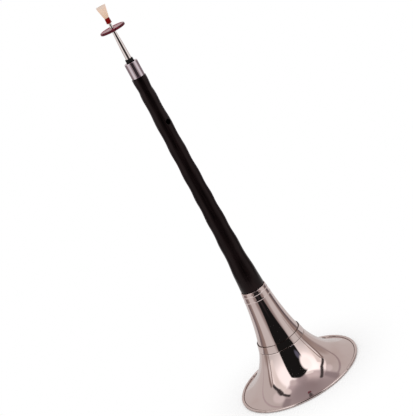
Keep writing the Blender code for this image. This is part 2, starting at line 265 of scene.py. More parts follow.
def turned(outline: Sequence[Point], steps: int, edge: float = 0.0) -> Shape:
    """Turn a closed outline round the bore's axis.

    Args:
        outline: Points of (radius, height).
        steps: Facets round the axis.
        edge: Width of the rounding on its corners, or 0 for none.

    Returns:
        The closed shape.
    """
    shape = bmesh.new()
    bmesh.ops.spin(shape, geom=outline_ring(shape, outline), cent=ORIGIN, axis=UP,
                   angle=math.tau, steps=steps, use_merge=True)
    bmesh.ops.remove_doubles(shape, verts=shape.verts, dist=MERGE)
    bmesh.ops.recalc_face_normals(shape, faces=shape.faces)
    if edge > 0.0:
        ease_edges(shape, edge)
    return shape


def ease_edges(shape: Shape, width: float, segments: int = 3) -> None:
    """Round every corner edge of a shape.

    Args:
        shape: Shape to change.
        width: Width of the rounding, from the corner.
        segments: Facets across the rounding.
    """
    corners = [edge for edge in shape.edges if edge.is_manifold and edge.calc_face_angle() > SHARP]
    bmesh.ops.bevel(shape, geom=corners, offset=width, offset_type="OFFSET", affect="EDGES",
                    segments=segments, profile=0.5, material=-1, clamp_overlap=True)


def shade(data: bpy.types.Mesh) -> None:
    """Shade a mesh smoothly, apart from its corners."""
    data.shade_smooth()
    data.set_sharp_from_angle(angle=SHARP)


def new_object(shape: Shape, name: str) -> Piece:
    """Turn a shape into an object at the origin and free it.

    Args:
        shape: Shape of the object.
        name: Name of the object.

    Returns:
        The object, which has no material yet.
    """
    data = bpy.data.meshes.new(name)
    shape.to_mesh(data)
    shape.free()
    shade(data)
    piece = bpy.data.objects.new(name, data)
    bpy.context.scene.collection.objects.link(piece)
    return piece


def settle(piece: Piece, place: Place, finish: "Finish") -> Piece:
    """Give a piece its finish and put it on its body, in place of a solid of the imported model.

    Args:
        piece: The piece.
        place: The solid that it stands for.
        finish: Its finish.

    Returns:
        The same piece.
    """
    piece.data.materials.append(finish.material())
    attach(piece, place.body)
    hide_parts(place.node)
    return piece


def overlay(tree: Tree, under: Socket | Colour, over: Socket | Colour, *masks: Socket) -> Socket:
    """Lay a colour over another one, through one or more masks.

    Args:
        tree: Node tree that gets the nodes.
        under: Colour below.
        over: Colour laid on it.
        masks: Values from 0 to 1. The colour shows where all of them are 1.

    Returns:
        The colour that results.
    """
    share = masks[0]
    for mask in masks[1:]:
        share = add_node(tree, "ShaderNodeMath", {"operation": "MULTIPLY"}, {
            0: share, 1: mask}).outputs["Value"]
    return add_node(tree, "ShaderNodeMix", {"data_type": "RGBA"}, {
        MIX_FACTOR: share, MIX_A: under, MIX_B: over}).outputs[MIX_RESULT]


def height_on(tree: Tree) -> Socket:
    """Return the height of a point on a surface, from Object coordinates."""
    place = add_node(tree, "ShaderNodeTexCoord").outputs["Object"]
    return add_node(tree, "ShaderNodeSeparateXYZ", {}, {"Vector": place}).outputs["Z"]


def radius_on(tree: Tree) -> Socket:
    """Measure how far a point on a surface lies from the bore's axis, from Object coordinates.

    Args:
        tree: The material's nodes.

    Returns:
        The distance, in metres.
    """
    place = add_node(tree, "ShaderNodeTexCoord").outputs["Object"]
    flat = add_node(tree, "ShaderNodeVectorMath", {"operation": "MULTIPLY"}, {0: place, 1: (1.0, 1.0, 0.0)})
    return add_node(tree, "ShaderNodeVectorMath", {"operation": "LENGTH"}, {
        0: flat.outputs["Vector"]}).outputs["Value"]


def round_lines(tree: Tree, spacing: float, detail: Detail) -> Socket:
    """Return a pattern of fine lines that run round the bore's axis.

    Args:
        tree: The material's nodes.
        spacing: Distance from line to line.
        detail: How much finer lines there are between them.

    Returns:
        The pattern, from 0 to 1.
    """
    along = add_node(tree, "ShaderNodeCombineXYZ", {}, {"X": radius_on(tree), "Y": height_on(tree)})
    return add_node(tree, "ShaderNodeTexNoise", {"noise_dimensions": "2D"}, {
        "Vector": along.outputs["Vector"], "Scale": 1.0 / spacing, "Detail": detail.value}).outputs["Fac"]


def cloudy(tree: Tree, size: Sequence[float], detail: Detail) -> Socket:
    """Return a soft random pattern on Object coordinates.

    Args:
        tree: The material's nodes.
        size: Size of a patch along X, Y and Z.
        detail: How much finer patches there are in it.

    Returns:
        The pattern, from 0 to 1.
    """
    place = add_node(tree, "ShaderNodeTexCoord").outputs["Object"]
    scaled = add_node(tree, "ShaderNodeMapping", {}, {
        "Vector": place, "Scale": tuple(1.0 / length for length in size)})
    return add_node(tree, "ShaderNodeTexNoise", {}, {
        "Vector": scaled.outputs["Vector"], "Scale": 1.0, "Detail": detail.value}).outputs["Fac"]


def two_tone(tree: Tree, pattern: Socket, tones: tuple[str, str], reach: Span = (0.35, 0.65)) -> Socket:
    """Mix two tones by a pattern.

    Args:
        tree: The material's nodes.
        pattern: Pattern from 0 to 1.
        tones: sRGB hex colours at the low and the high end.
        reach: Pattern values where the low tone ends and the high one is full.

    Returns:
        The mixed tone.
    """
    share = add_node(tree, "ShaderNodeMapRange", SMOOTH, {
        "Value": pattern, "From Min": reach[0], "From Max": reach[1]})
    return overlay(tree, linear(tones[0]), linear(tones[1]), share.outputs["Result"])


@dataclass(frozen=True)
class Finish:
    """A surface made of nodes. Each kind of finish adds its own pattern to the plain shader."""

    name: str
    colour: str                        # sRGB hex, as every tone of a finish
    roughness: float
    spread: float = 0.08               # how far the pattern moves the roughness, either way
    metallic: float = 0.0
    specular: float = 0.5

    def material(self) -> bpy.types.Material:
        """Make the finish, or find it where another piece already has it.

        Returns:
            The material, which pieces of the same finish share.
        """
        made = bpy.data.materials.get(self.name)
        if made is None:
            made = bpy.data.materials.new(self.name)
            made.use_nodes = True
            shader = made.node_tree.nodes["Principled BSDF"]
            shader.inputs["Base Color"].default_value = linear(self.colour)
            shader.inputs["Roughness"].default_value = self.roughness
            shader.inputs["Metallic"].default_value = self.metallic
            shader.inputs["Specular IOR Level"].default_value = self.specular
            self.dress(made.node_tree, shader)
        return made

    def dress(self, tree: Tree, shader: Node) -> None:
        """Add the pattern of the finish to its shader."""
        raise NotImplementedError

    def lay_on(self, tree: Tree, shader: Node, tone: Socket, sheen: Socket,
               relief: Sequence[tuple[Socket, float]]) -> None:
        """Lead the patterns of the finish to its shader.

        Args:
            tree: The material's nodes.
            shader: Its shader.
            tone: Colour of the surface.
            sheen: Pattern from 0 to 1 that moves the roughness either side of its plain value.
            relief: Patterns from 0 to 1 that raise the surface, each with its height in metres.
        """
        rough = add_node(tree, "ShaderNodeMapRange", {}, {
            "Value": sheen, "To Min": self.roughness - self.spread, "To Max": self.roughness + self.spread})
        normal = None
        for pattern, height in relief:
            inputs = {"Height": pattern, "Strength": 1.0, "Distance": height}
            if normal is not None:
                inputs["Normal"] = normal
            normal = add_node(tree, "ShaderNodeBump", {}, inputs).outputs["Normal"]
        tree.links.new(tone, shader.inputs["Base Color"])
        tree.links.new(rough.outputs["Result"], shader.inputs["Roughness"])
        tree.links.new(normal, shader.inputs["Normal"])


@dataclass(frozen=True)
class MirrorNickel(Finish):
    """Nickel plate on spun sheet metal, buffed to a mirror.

    Spinning leaves the sheet faintly uneven, so what it mirrors has slightly wavering edges, and
    buffing leaves hairlines round the axis.
    """

    spread: float = 0.018
    metallic: float = 1.0
    tarnish: str = "#D2BEB9"
    tarnish_reach: Span = (0.45, 0.85)
    patch: float = 26.0 * MM           # size of a patch of faint tarnish
    waver: float = 15.0 * MM           # length of the unevenness
    waver_height: float = 0.02 * MM
    hairline: float = 0.5 * MM         # real ones are a tenth of this, too fine to show
    hairline_height: float = 0.0006 * MM
    seams: tuple[Span, ...] = ()       # dark lines painted at the seams, partly buffing compound and partly painted shade in their creases: height, half width
    # tone of the seam lines: compound left there, and the painted shade of the creases
    seam_compound_and_shade: str = "#5E4B44"

    def dress(self, tree: Tree, shader: Node) -> None:
        """Add tarnish, hairlines, waver, and dark lines at the seams that are partly compound and partly
        painted shade.

        Args:
            tree: The material's nodes.
            shader: Its shader.
        """
        hairlines = round_lines(tree, self.hairline, Detail.FULL)
        waver = cloudy(tree, (self.waver,) * 3, Detail.NONE)
        patches = cloudy(tree, (self.patch,) * 3, Detail.SOME)
        tone = two_tone(tree, patches, (self.colour, self.tarnish), self.tarnish_reach)
        # Painted shade: each seam gets a dark line, standing for the compound in it and for the shade in its
        # crease
        for seam, half in self.seams:
            line = add_node(tree, "ShaderNodeMath", {"operation": "COMPARE"}, {
                0: height_on(tree), 1: seam, 2: half})
            tone = overlay(tree, tone, linear(self.seam_compound_and_shade), line.outputs["Value"])
        relief = [(waver, self.waver_height), (hairlines, self.hairline_height)]
        self.lay_on(tree, shader, tone, hairlines, relief)


@dataclass(frozen=True)
class DrawnSteel(Finish):
    """Bare steel wire, drawn through a die, which leaves it dull grey with fine lines along it."""

    metallic: float = 1.0
    die_line: float = 0.12 * MM        # real ones are a tenth of this, too fine to show
    die_line_height: float = 0.004 * MM
    dull: str = "#8A8988"

    def dress(self, tree: Tree, shader: Node) -> None:
        """Add die lines and dull patches.

        Args:
            tree: The material's nodes.
            shader: Its shader.
        """
        lines = round_lines(tree, self.die_line, Detail.SOME)
        tone = two_tone(tree, lines, (self.colour, self.dull))
        self.lay_on(tree, shader, tone, lines, [(lines, self.die_line_height)])


@dataclass(frozen=True)
class StainedWood(Finish):
    """Hardwood turned smooth, stained black and oiled.

    The stain hides most of the figure. What is left is a satin surface with faint brown streaks
    and fine pores along the bore.
    """

    spread: float = 0.05
    specular: float = 0.18
    sheen: str = "#FFDCDE"             # the stain's red, in the gloss of the oil
    streak: str = "#120B0B"
    streak_size: Sequence[float] = (1.6 * MM, 1.6 * MM, 45.0 * MM)
    streak_reach: Span = (0.42, 0.7)
    pore_size: Sequence[float] = (0.28 * MM, 0.28 * MM, 6.0 * MM)
    pore_depth: float = 0.03 * MM
    worn: str = "#1D1111"
    rubbed: float = 30.0 * MM          # size of the places that hands have rubbed
    rubbed_reach: Span = (0.52, 0.8)
    rubbed_share: float = 0.6          # how far their tone goes to the worn one

    def dress(self, tree: Tree, shader: Node) -> None:
        """Add streaks, pores and rubbed places.

        Args:
            tree: The material's nodes.
            shader: Its shader.
        """
        shader.inputs["Specular Tint"].default_value = linear(self.sheen)
        streaks = cloudy(tree, self.streak_size, Detail.FULL)
        pores = cloudy(tree, self.pore_size, Detail.SOME)
        rubbed = cloudy(tree, (self.rubbed,) * 3, Detail.SOME)
        tone = two_tone(tree, streaks, (self.colour, self.streak), self.streak_reach)
        wear = add_node(tree, "ShaderNodeMapRange", SMOOTH, {
            "Value": rubbed, "From Min": self.rubbed_reach[0], "From Max": self.rubbed_reach[1],
            "To Max": self.rubbed_share})
        tone = overlay(tree, tone, linear(self.worn), wear.outputs["Result"])
        self.lay_on(tree, shader, tone, rubbed, [(pores, self.pore_depth)])


@dataclass(frozen=True)
class CorkSheet(Finish):
    """Sheet cork, cut and glued round the tenon and greased: tan crumbs with dark pits between them."""

    spread: float = 0.1
    crumb: float = 1.3 * MM
    pit: str = "#5A3A22"
    pit_reach: Span = (0.0, 0.22)
    pit_depth: float = 0.12 * MM

    def dress(self, tree: Tree, shader: Node) -> None:
        """Add crumbs and pits.

        Args:
            tree: The material's nodes.
            shader: Its shader.
        """
        place = add_node(tree, "ShaderNodeTexCoord").outputs["Object"]
        cells = add_node(tree, "ShaderNodeTexVoronoi", {"feature": "DISTANCE_TO_EDGE"}, {
            "Vector": place, "Scale": 1.0 / self.crumb}).outputs["Distance"]
        tone = two_tone(tree, cells, (self.pit, self.colour), self.pit_reach)
        greased = cloudy(tree, (self.crumb,) * 3, Detail.SOME)
        self.lay_on(tree, shader, tone, greased, [(cells, self.pit_depth)])


@dataclass(frozen=True)
class MattRubber(Finish):
    """Black rubber, moulded with a fine grain, which leaves it dull, and with a grey bloom in patches."""

    specular: float = 0.2
    bloom: str = "#171515"
    bloom_size: float = 2.0 * MM
    grain: float = 0.25 * MM           # real grain is half of this, too fine to show
    grain_height: float = 0.02 * MM

    def dress(self, tree: Tree, shader: Node) -> None:
        """Add grain and bloom.

        Args:
            tree: The material's nodes.
            shader: Its shader.
        """
        grain = cloudy(tree, (self.grain,) * 3, Detail.SOME)
        patches = cloudy(tree, (self.bloom_size,) * 3, Detail.FULL)
        tone = two_tone(tree, patches, (self.colour, self.bloom))
        self.lay_on(tree, shader, tone, grain, [(grain, self.grain_height)])


@dataclass(frozen=True)
class GlossLacquer(Finish):
    """Maroon lacquer, brushed over a turned wooden disc and polished.

    It is smooth with a faint orange peel, and a darker figure of the wood shows through it.
    """

    spread: float = 0.04
    specular: float = 0.08
    figure: str = "#3A0E16"
    figure_size: Sequence[float] = (0.9 * MM, 7.0 * MM, 3.0 * MM)
    face: str = "#9A2E4A"              # painted highlight: a paler tone on the flat faces
    highlight_edge: Span = (11.6 * MM, 10.8 * MM)      # radii where the painted highlight begins and is full
    highlight_share: float = 0.6            # how far its tone goes to the painted highlight
    orange_peel: float = 1.2 * MM
    orange_peel_height: float = 0.006 * MM

    def dress(self, tree: Tree, shader: Node) -> None:
        """Add the figure of the wood, a painted highlight on the flat faces and the lacquer's orange peel.

        Args:
            tree: The material's nodes.
            shader: Its shader.
        """
        peel = cloudy(tree, (self.orange_peel,) * 3, Detail.LITTLE)
        figure = cloudy(tree, self.figure_size, Detail.FULL)
        tone = two_tone(tree, figure, (self.figure, self.colour))
        # Painted highlight: a paler tone on the flat faces, set by the distance from the axis
        worn = add_node(tree, "ShaderNodeMapRange", {}, {
            "Value": radius_on(tree), "From Min": self.highlight_edge[0], "From Max": self.highlight_edge[1],
            "To Max": self.highlight_share})
        tone = overlay(tree, tone, linear(self.face), worn.outputs["Result"])
        self.lay_on(tree, shader, tone, peel, [(peel, self.orange_peel_height)])


@dataclass(frozen=True)
class ScrapedCane(Finish):
    """Reed cane, scraped thin and soaked many times.

    It shows peach fibres, deeper in tone near the thread and greyer at the tip, and a little light
    goes through it.
    """

    fibre: str = "#E5C1A9"
    fibre_size: Sequence[float] = (0.3 * MM, 0.6 * MM, 9.0 * MM)    # real ones, half as wide, don't show
    fibre_reach: Span = (0.3, 0.6)
    fibre_height: float = 0.012 * MM
    grey: str = "#DCCBC0"
    grey_heights: Span = (403.2 * MM, 407.2 * MM)     # where it greys, up to the tip
    deep: str = "#DCB899"
    deep_heights: Span = (403.0 * MM, 394.0 * MM)     # where it deepens, down to the thread
    tone_share: float = 0.85           # how far it goes to those tones
    see_through: float = 0.1
    see_through_depth: Sequence[float] = (1.2 * MM, 0.7 * MM, 0.4 * MM)

    def dress(self, tree: Tree, shader: Node) -> None:
        """Add fibres, the grey tip and the deeper tone at the thread.

        Args:
            tree: The material's nodes.
            shader: Its shader.
        """
        shader.inputs["Subsurface Weight"].default_value = self.see_through
        shader.inputs["Subsurface Radius"].default_value = self.see_through_depth
        shader.inputs["Subsurface Scale"].default_value = 1.0
        fibres = cloudy(tree, self.fibre_size, Detail.FULL)
        tone = two_tone(tree, fibres, (self.fibre, self.colour), self.fibre_reach)
        height = height_on(tree)
        for (start, end), further in ((self.grey_heights, self.grey), (self.deep_heights, self.deep)):
            share = add_node(tree, "ShaderNodeMapRange", {}, {
                "Value": height, "From Min": start, "From Max": end, "To Max": self.tone_share})
            tone = overlay(tree, tone, linear(further), share.outputs["Result"])
        self.lay_on(tree, shader, tone, fibres, [(fibres, self.fibre_height)])


@dataclass(frozen=True)
class WaxedThread(Finish):
    """Red thread, twisted and waxed: deep red with darker fibres and a soft gloss."""

    specular: float = 0.1
    deep: str = "#6C0404"
    fibre: float = 0.12 * MM           # real ones are a sixth of this, too fine to show
    fibre_length: float = 3.0          # in widths of a fibre
    fibre_height: float = 0.02 * MM

    def dress(self, tree: Tree, shader: Node) -> None:
        """Add the fibres of the twist.

        Args:
            tree: The material's nodes.
            shader: Its shader.
        """
        length = self.fibre * self.fibre_length
        fibres = cloudy(tree, (length, length, self.fibre), Detail.SOME)
        tone = two_tone(tree, fibres, (self.deep, self.colour))
        self.lay_on(tree, shader, tone, fibres, [(fibres, self.fibre_height)])


@dataclass
class Bell:
    """The spun bell: a flare lapped over a throat, and a wire in its rolled rim."""

    nickel: Finish
    steel: Finish
    steps: int = 256
    wall: float = 0.8 * MM
    lip: Point = (60.88 * MM, 1.0 * MM)      # where the horn curve runs under the rim roll
    horn_core: float = 1.22 * MM             # radius that the curve tends to, far above the rim
    horn_reach: float = 27.56 * MM           # height over which the curve closes in
    horn_power: float = 1.068
    horn_points: int = 70
    slope_step: float = 0.05 * MM            # height over which the horn's slope is taken
    roll_radius: float = 1.3 * MM
    roll_height: float = 1.15 * MM
    roll_wall: float = 0.5 * MM
    roll_angles: Span = (-150.0, 160.0)      # from the sheet, up and back over the wire
    roll_meeting: float = 0.4 * MM           # height of the horn's last point over its lip
    roll_points: int = 10
    wire_radius: float = 0.5 * MM
    wire_sides: int = 24
    seam_foot: float = 41.1 * MM
    seam_proud: Span = (0.3 * MM, 0.9 * MM)  # collar over the horn, at its foot and top
    collar_points: int = 24
    groove_width: float = 0.55 * MM          # scored line round the collar's foot
    groove_depth: float = 0.4 * MM
    groove_points: int = 9
    spigot_radius: float = 22.4 * MM
    throat_roll: float = 0.35 * MM
    throat_roll_end: float = -60.0           # angle where the roll of the mouth meets the cone
    throat_points: int = 190
    beads: tuple[float, ...] = (98.8 * MM, 93.0 * MM)
    bead_width: float = 1.1 * MM
    bead_proud: float = 0.22 * MM
    edge: float = 0.12 * MM

    def horn_radius(self, height: float) -> float:
        """Return the radius of the outside of the sheet at a height."""
        closing = (1.0 + (height - self.lip[1]) / self.horn_reach) ** -self.horn_power
        return self.horn_core + (self.lip[0] - self.horn_core) * closing

    def horn_inside(self, height: float) -> Point:
        """Find the point one wall in from the outside of the sheet.

        Args:
            height: Height on the outside.

        Returns:
            The point on the inside.
        """
        step = self.slope_step
        slope = (self.horn_radius(height + step) - self.horn_radius(height - step)) / (2.0 * step)
        length = math.hypot(1.0, slope)
        return (self.horn_radius(height) - self.wall / length, height + self.wall * slope / length)

    def horn_heights(self, low: float, high: float, count: int) -> list[float]:
        """Return heights from high to low, closer together where the horn opens out."""
        return [low + (high - low) * share ** 2 for share in spaced(1.0, 0.0, count)]

    def collar(self) -> Outline:
        """Draw the outside of the lap collar.

        Returns:
            Its points, from its top to the foot of the scored line under it.
        """
        top = Place.FLARE.top
        run = []
        for height in spaced(top, self.seam_foot, self.collar_points):
            share = (height - self.seam_foot) / (top - self.seam_foot)
            run.append((self.horn_radius(height) + mix(*self.seam_proud, share), height))
        for share in spaced(0.0, 1.0, self.groove_points)[1:]:
            height = self.seam_foot - self.groove_width * share
            sunk = self.groove_depth * math.sin(math.pi * share)
            proud = mix(self.seam_proud[0], 0.0, share)
            run.append((self.horn_radius(height) + proud - sunk, height))
        return run

    def roll_centre(self) -> Point:
        """Return the middle of the rolled rim."""
        return (Place.FLARE.radius - self.roll_radius, self.roll_height)

    def flare_outline(self) -> Outline:
        """Draw the flare.

        Returns:
            Its outline: collar, horn, rolled rim and the inside.
        """
        centre = self.roll_centre()
        flat = math.degrees(math.asin(self.roll_height / self.roll_radius))
        start, end = self.roll_angles
        lowest = self.lip[1] + self.roll_meeting
        heights = self.horn_heights(lowest, self.seam_foot - self.groove_width, self.horn_points)
        points = self.collar()
        points += [(self.horn_radius(z), z) for z in heights[1:]]
        points += arc(centre, self.roll_radius - self.roll_wall, start, end, 3 * self.roll_points)
        points += arc(centre, self.roll_radius, end, 0.0, 2 * self.roll_points)
        points += arc(centre, self.roll_radius, 0.0, -flat, self.roll_points)[1:]
        points += arc(centre, self.roll_radius, flat - 180.0, start, self.roll_points)
        points += [self.horn_inside(z) for z in reversed(heights)]
        points.append((self.spigot_radius + GAP, Place.THROAT.foot - GAP))
        points.append((self.horn_radius(Place.FLARE.top) + GAP, Place.FLARE.top))
        return points

    def throat_radius(self, height: float) -> float:
        """Find the outside radius of the throat, with the fine beads under its mouth.

        Args:
            height: Height on the throat.

        Returns:
            The radius.
        """
        radius = self.horn_radius(height)
        for bead in self.beads:
            off = abs(height - bead) / self.bead_width
            if off < 0.5:
                radius += self.bead_proud * 0.5 * (1.0 + math.cos(math.tau * off))
        return radius

    def throat_outline(self) -> Outline:
        """Draw the throat.

        Returns:
            Its outline: rolled mouth, beads, cone, spigot and the inside.
        """
        top = Place.THROAT.top
        seam = Place.FLARE.top
        roll = self.throat_roll
        centre = (self.horn_radius(top) - self.wall + roll, top - roll)
        points = arc(centre, roll, 90.0, self.throat_roll_end, self.roll_points)
        highest = points[-1][1] - 0.5 * roll
        points += [(self.throat_radius(z), z) for z in spaced(highest, seam, self.throat_points)]
        points += [(self.spigot_radius, Place.THROAT.foot)]
        points += [(self.spigot_radius - self.wall, Place.THROAT.foot)]
        points += [self.horn_inside(z) for z in spaced(seam, top - roll, self.horn_points)[:-1]]
        points += arc(centre, roll, 180.0, 90.0, self.roll_points)[:-1]
        return points

    def build(self) -> dict[Place, Piece]:
        """Make the bell's three pieces.

        Returns:
            The pieces, each under the solid that it stands for.
        """
        flare = new_object(turned(self.flare_outline(), self.steps, self.edge), "spun_flare")
        throat = new_object(turned(self.throat_outline(), self.steps, self.edge), "spun_throat")
        section = circle(self.roll_centre(), self.wire_radius, self.wire_sides)
        wire = new_object(turned(section, self.steps), "rolled_in_wire")
        return {
            Place.FLARE: settle(flare, Place.FLARE, self.nickel),
            Place.THROAT: settle(throat, Place.THROAT, self.nickel),
            Place.RIM_WIRE: settle(wire, Place.RIM_WIRE, self.steel),
        }


@dataclass
class Pipe:
    """The turned wooden pipe with its holes, its nickel ferrule and the cork on its tenon."""

    wood: Finish
    bore: Finish
    nickel: Finish
    cork: Finish
    steps: int = 144
    hole_heights: tuple[float, ...] = tuple(
        z * MM for z in (300.5, 270.5, 243.9, 216.9, 194.5, 167.4, 141.9))
    thumb_height: float = 286.2 * MM
    hole_turn: float = math.radians(40.0)    # thumb hole, round from -Y towards +X
    hole_radius: float = 2.75 * MM
    hole_ease: float = 0.55 * MM             # rounding of a hole's edge
    drill_reach: Span = (-5.0 * MM, 2.0 * MM)     # ends of a drill, from the wood's surface
    drill_lead: float = 0.15 * MM            # height over the surface where its shoulder begins
    drill_arc: Span = (115.0, 180.0)         # angles of the shoulder's rounding
    drill_points: int = 7
    drill_steps: int = 64
    waist: float = 321.4 * MM
    shoulder: Point = (7.05 * MM, 334.4 * MM)
    shoulder_length: float = 4.0 * MM        # straight stretch under the ferrule
    neck_points: int = 14
    stem_radii: Span = (6.76 * MM, 9.8 * MM)      # mean at the waist and the lowest hole
    stem_bow: Span = (0.2, -1.2)             # how the mean leaves a straight taper, high up and low down
    scallop: float = 0.25 * MM               # hollows and ridges, either side of the mean
    scallop_points: int = 26
    first_skew: float = 0.66                 # brings the first ridge up towards the waist
    flare: Point = (11.3 * MM, 117.5 * MM)
    flare_points: int = 24
    foot_swell: Point = (12.0 * MM, 104.8 * MM)   # over the bell's mouth
    bell_shoulder: float = 11.6 * MM
    tenon_radii: Span = (10.6 * MM, 11.2 * MM)    # under the cork, and at the tip
    tenon_bevel: float = 1.0 * MM
    top_radius: float = 5.5 * MM
    socket: Point = (4.0 * MM, 330.5 * MM)
    bore_radii: Span = (3.3 * MM, 8.2 * MM)
    bore_points: int = 90
    ferrule_cap: float = 0.8 * MM
    ferrule_hole: float = 4.1 * MM
    ferrule_round: float = 0.5 * MM
    ferrule_points: tuple[int, int] = (9, 12)     # on its rounding, and down its side
    cork_bulge: float = 0.12 * MM
    cork_points: int = 20
    edge: float = 0.15 * MM

    @property
    def troughs(self) -> tuple[float, ...]:
        """Heights of the hollows, from the waist down."""
        return (self.waist, *self.hole_heights)

    def stem_radius(self, height: float) -> float:
        """Find the pipe's radius between the waist and the lowest finger hole.

        Args:
            height: Height on the stem.

        Returns:
            The radius, with its hollows and ridges.
        """
        troughs = self.troughs
        along = (self.waist - height) / (self.waist - troughs[-1])
        bow = along * (1.0 - along) * (self.stem_bow[0] + self.stem_bow[1] * along)
        mean = mix(*self.stem_radii, along + bow)
        index = sum(1 for trough in troughs[1:-1] if height <= trough)
        share = (troughs[index] - height) / (troughs[index] - troughs[index + 1])
        if index == 0:
            share = max(share, 0.0) ** self.first_skew
        return mean - self.scallop * math.cos(math.tau * share)

    def outline(self) -> Outline:
        """Draw the pipe.

        Returns:
            Its outline: tenons at both ends, scalloped stem, flare and bore.
        """
        troughs = self.troughs
        cork_top, cork_foot = Place.TENON_PACKING.top, Place.TENON_PACKING.foot
        under, tip = self.tenon_radii
        top, foot = Place.WOOD.top, Place.WOOD.foot
        points = [(self.top_radius, top), (self.top_radius, self.shoulder[1]), self.shoulder]
        waist = (self.stem_radius(self.waist), self.waist)
        straight = (self.shoulder[0], self.shoulder[1] - self.shoulder_length)
        points += [ease(straight, waist, share) for share in spaced(0.0, 1.0, self.neck_points)[:-1]]
        for high, low in zip(troughs, troughs[1:]):
            points += [(self.stem_radius(z), z) for z in spaced(high, low, self.scallop_points)[:-1]]
        lowest = (self.stem_radius(troughs[-1]), troughs[-1])
        points += [ease(lowest, self.flare, share) for share in spaced(0.0, 1.0, self.flare_points)]
        points += [self.foot_swell, (self.foot_swell[0] - GAP, Place.THROAT.top + 2.0 * GAP)]
        points += [(self.bell_shoulder, Place.THROAT.top + GAP)]
        points += [(self.bell_shoulder, cork_top + 2.0 * GAP), (under, cork_top + GAP)]
        points += [(under, cork_foot - GAP), (tip, cork_foot - GAP)]
        points += [(tip, foot + self.tenon_bevel), (tip - self.tenon_bevel, foot)]
        narrow, wide = self.bore_radii
        points += [(mix(wide, narrow, share), mix(foot, self.socket[1], share))
                   for share in spaced(0.0, 1.0, self.bore_points)]
        points += [self.socket, (self.socket[0], top)]
        return points

    def surface(self, height: float, across: float) -> float:
        """Return how far out the wood's surface lies, beside the plane through the bore."""
        return math.sqrt(max(self.stem_radius(height) ** 2 - across ** 2, 0.0))

    def add_drill(self, drills: Shape, height: float, turn: float) -> None:
        """Add a drill with a rounded shoulder that follows the wood's surface.

        Args:
            drills: Shape that gets the drill.
            height: Height of the hole.
            turn: Direction of the hole, round from -Y towards +X.
        """
        radius, rounding = self.hole_radius, self.hole_ease
        deep, out = self.drill_reach
        outline = [(0.0, out), (radius + rounding, out), (radius + rounding, self.drill_lead)]
        outline += arc((radius + rounding, -rounding), rounding, *self.drill_arc, self.drill_points)
        outline += [(radius, -2.0 * rounding), (radius, deep), (0.0, deep)]
        shape = turned(outline, self.drill_steps)
        for vertex in shape.verts:
            across, along, depth = vertex.co
            reach = depth + self.surface(height + along, across)
            vertex.co = (reach * math.sin(turn) + across * math.cos(turn),
                         across * math.sin(turn) - reach * math.cos(turn), height + along)
        bmesh.ops.delete(shape, geom=[edge for edge in shape.edges if edge.is_wire], context="EDGES")
        bmesh.ops.recalc_face_normals(shape, faces=shape.faces)
        if shape.calc_volume(signed=True) < 0.0:
            bmesh.ops.reverse_faces(shape, faces=shape.faces)
        data = bpy.data.meshes.new("drill")
        shape.to_mesh(data)
        shape.free()
        drills.from_mesh(data)
        bpy.data.meshes.remove(data)

    def drills(self) -> Piece:
        """Set out the drills of the finger holes and, across from them, the thumb hole.

        Returns:
            All the drills as one object, which the pipe is cut with.
        """
        shape = bmesh.new()
        for height in self.hole_heights:
            self.add_drill(shape, height, self.hole_turn + math.pi)
        self.add_drill(shape, self.thumb_height, self.hole_turn)
        return new_object(shape, "drills")

    def drilled(self) -> Piece:
        """Turn the pipe and drill its holes.

        Returns:
            The pipe, with its faces turned outwards again after the cut.
        """
        piece = new_object(turned(self.outline(), self.steps, self.edge), "turned_pipe")
        cutter = self.drills()
        cut = piece.modifiers.new("Holes", "BOOLEAN")
        cut.operation = "DIFFERENCE"
        cut.solver = "MANIFOLD"
        cut.object = cutter
        graph = bpy.context.evaluated_depsgraph_get()
        piece.data = bpy.data.meshes.new_from_object(piece.evaluated_get(graph))
        piece.modifiers.clear()
        bpy.data.objects.remove(cutter, do_unlink=True)
        piece.data.name = piece.name
        piece.data.materials.clear()
        shape = bmesh.new()
        shape.from_mesh(piece.data)
        bmesh.ops.recalc_face_normals(shape, faces=shape.faces)
        shape.to_mesh(piece.data)
        shape.free()
        shade(piece.data)
        return piece

    def dull_inside(self, piece: Piece) -> None:
        """Give the bore and the walls of the holes their own finish, which is raw and unpolished.

        Args:
            piece: The pipe, with the finish of its outside.
        """
        piece.data.materials.append(self.bore.material())
        lowest = self.troughs[-1] - 2.0 * self.hole_radius
        for face in piece.data.polygons:
            across, along, height = face.center
            if lowest < height < self.waist:
                buried = self.stem_radius(height) - math.hypot(across, along)
                face.material_index = int(buried > 0.5 * self.hole_ease)

    def ferrule(self) -> Shape:
        """Turn the nickel cap on the top of the pipe.

        Returns:
            The cap, with the hole that the staple's sleeve goes through.
        """
        radius, top, foot = Place.FERRULE.radius, Place.FERRULE.top, Place.FERRULE.foot
        inside = self.top_radius + GAP
        rounded, straight = self.ferrule_points
        corner = (radius - self.ferrule_round, top - self.ferrule_round)
        points = arc(corner, self.ferrule_round, 90.0, 0.0, rounded)
        points += [(radius, z) for z in spaced(top - 2.0 * self.ferrule_round, foot, straight)]
        points += [(inside, foot), (inside, top - self.ferrule_cap)]
        points += [(self.ferrule_hole, top - self.ferrule_cap), (self.ferrule_hole, top)]
        return turned(points, self.steps, self.edge)

    def packing(self) -> Shape:
        """Wrap the cork sleeve in the tenon's recess.

        Returns:
            The sleeve, a little fuller at its middle.
        """
        cork = Place.TENON_PACKING
        inside = self.tenon_radii[0] + GAP
        points = []
        for share in spaced(0.0, 1.0, self.cork_points):
            thin = self.cork_bulge * (2.0 * share - 1.0) ** 4
            points.append((cork.radius - thin, mix(cork.top, cork.foot, share)))
        return turned([*points, (inside, cork.foot), (inside, cork.top)], self.steps, self.edge)

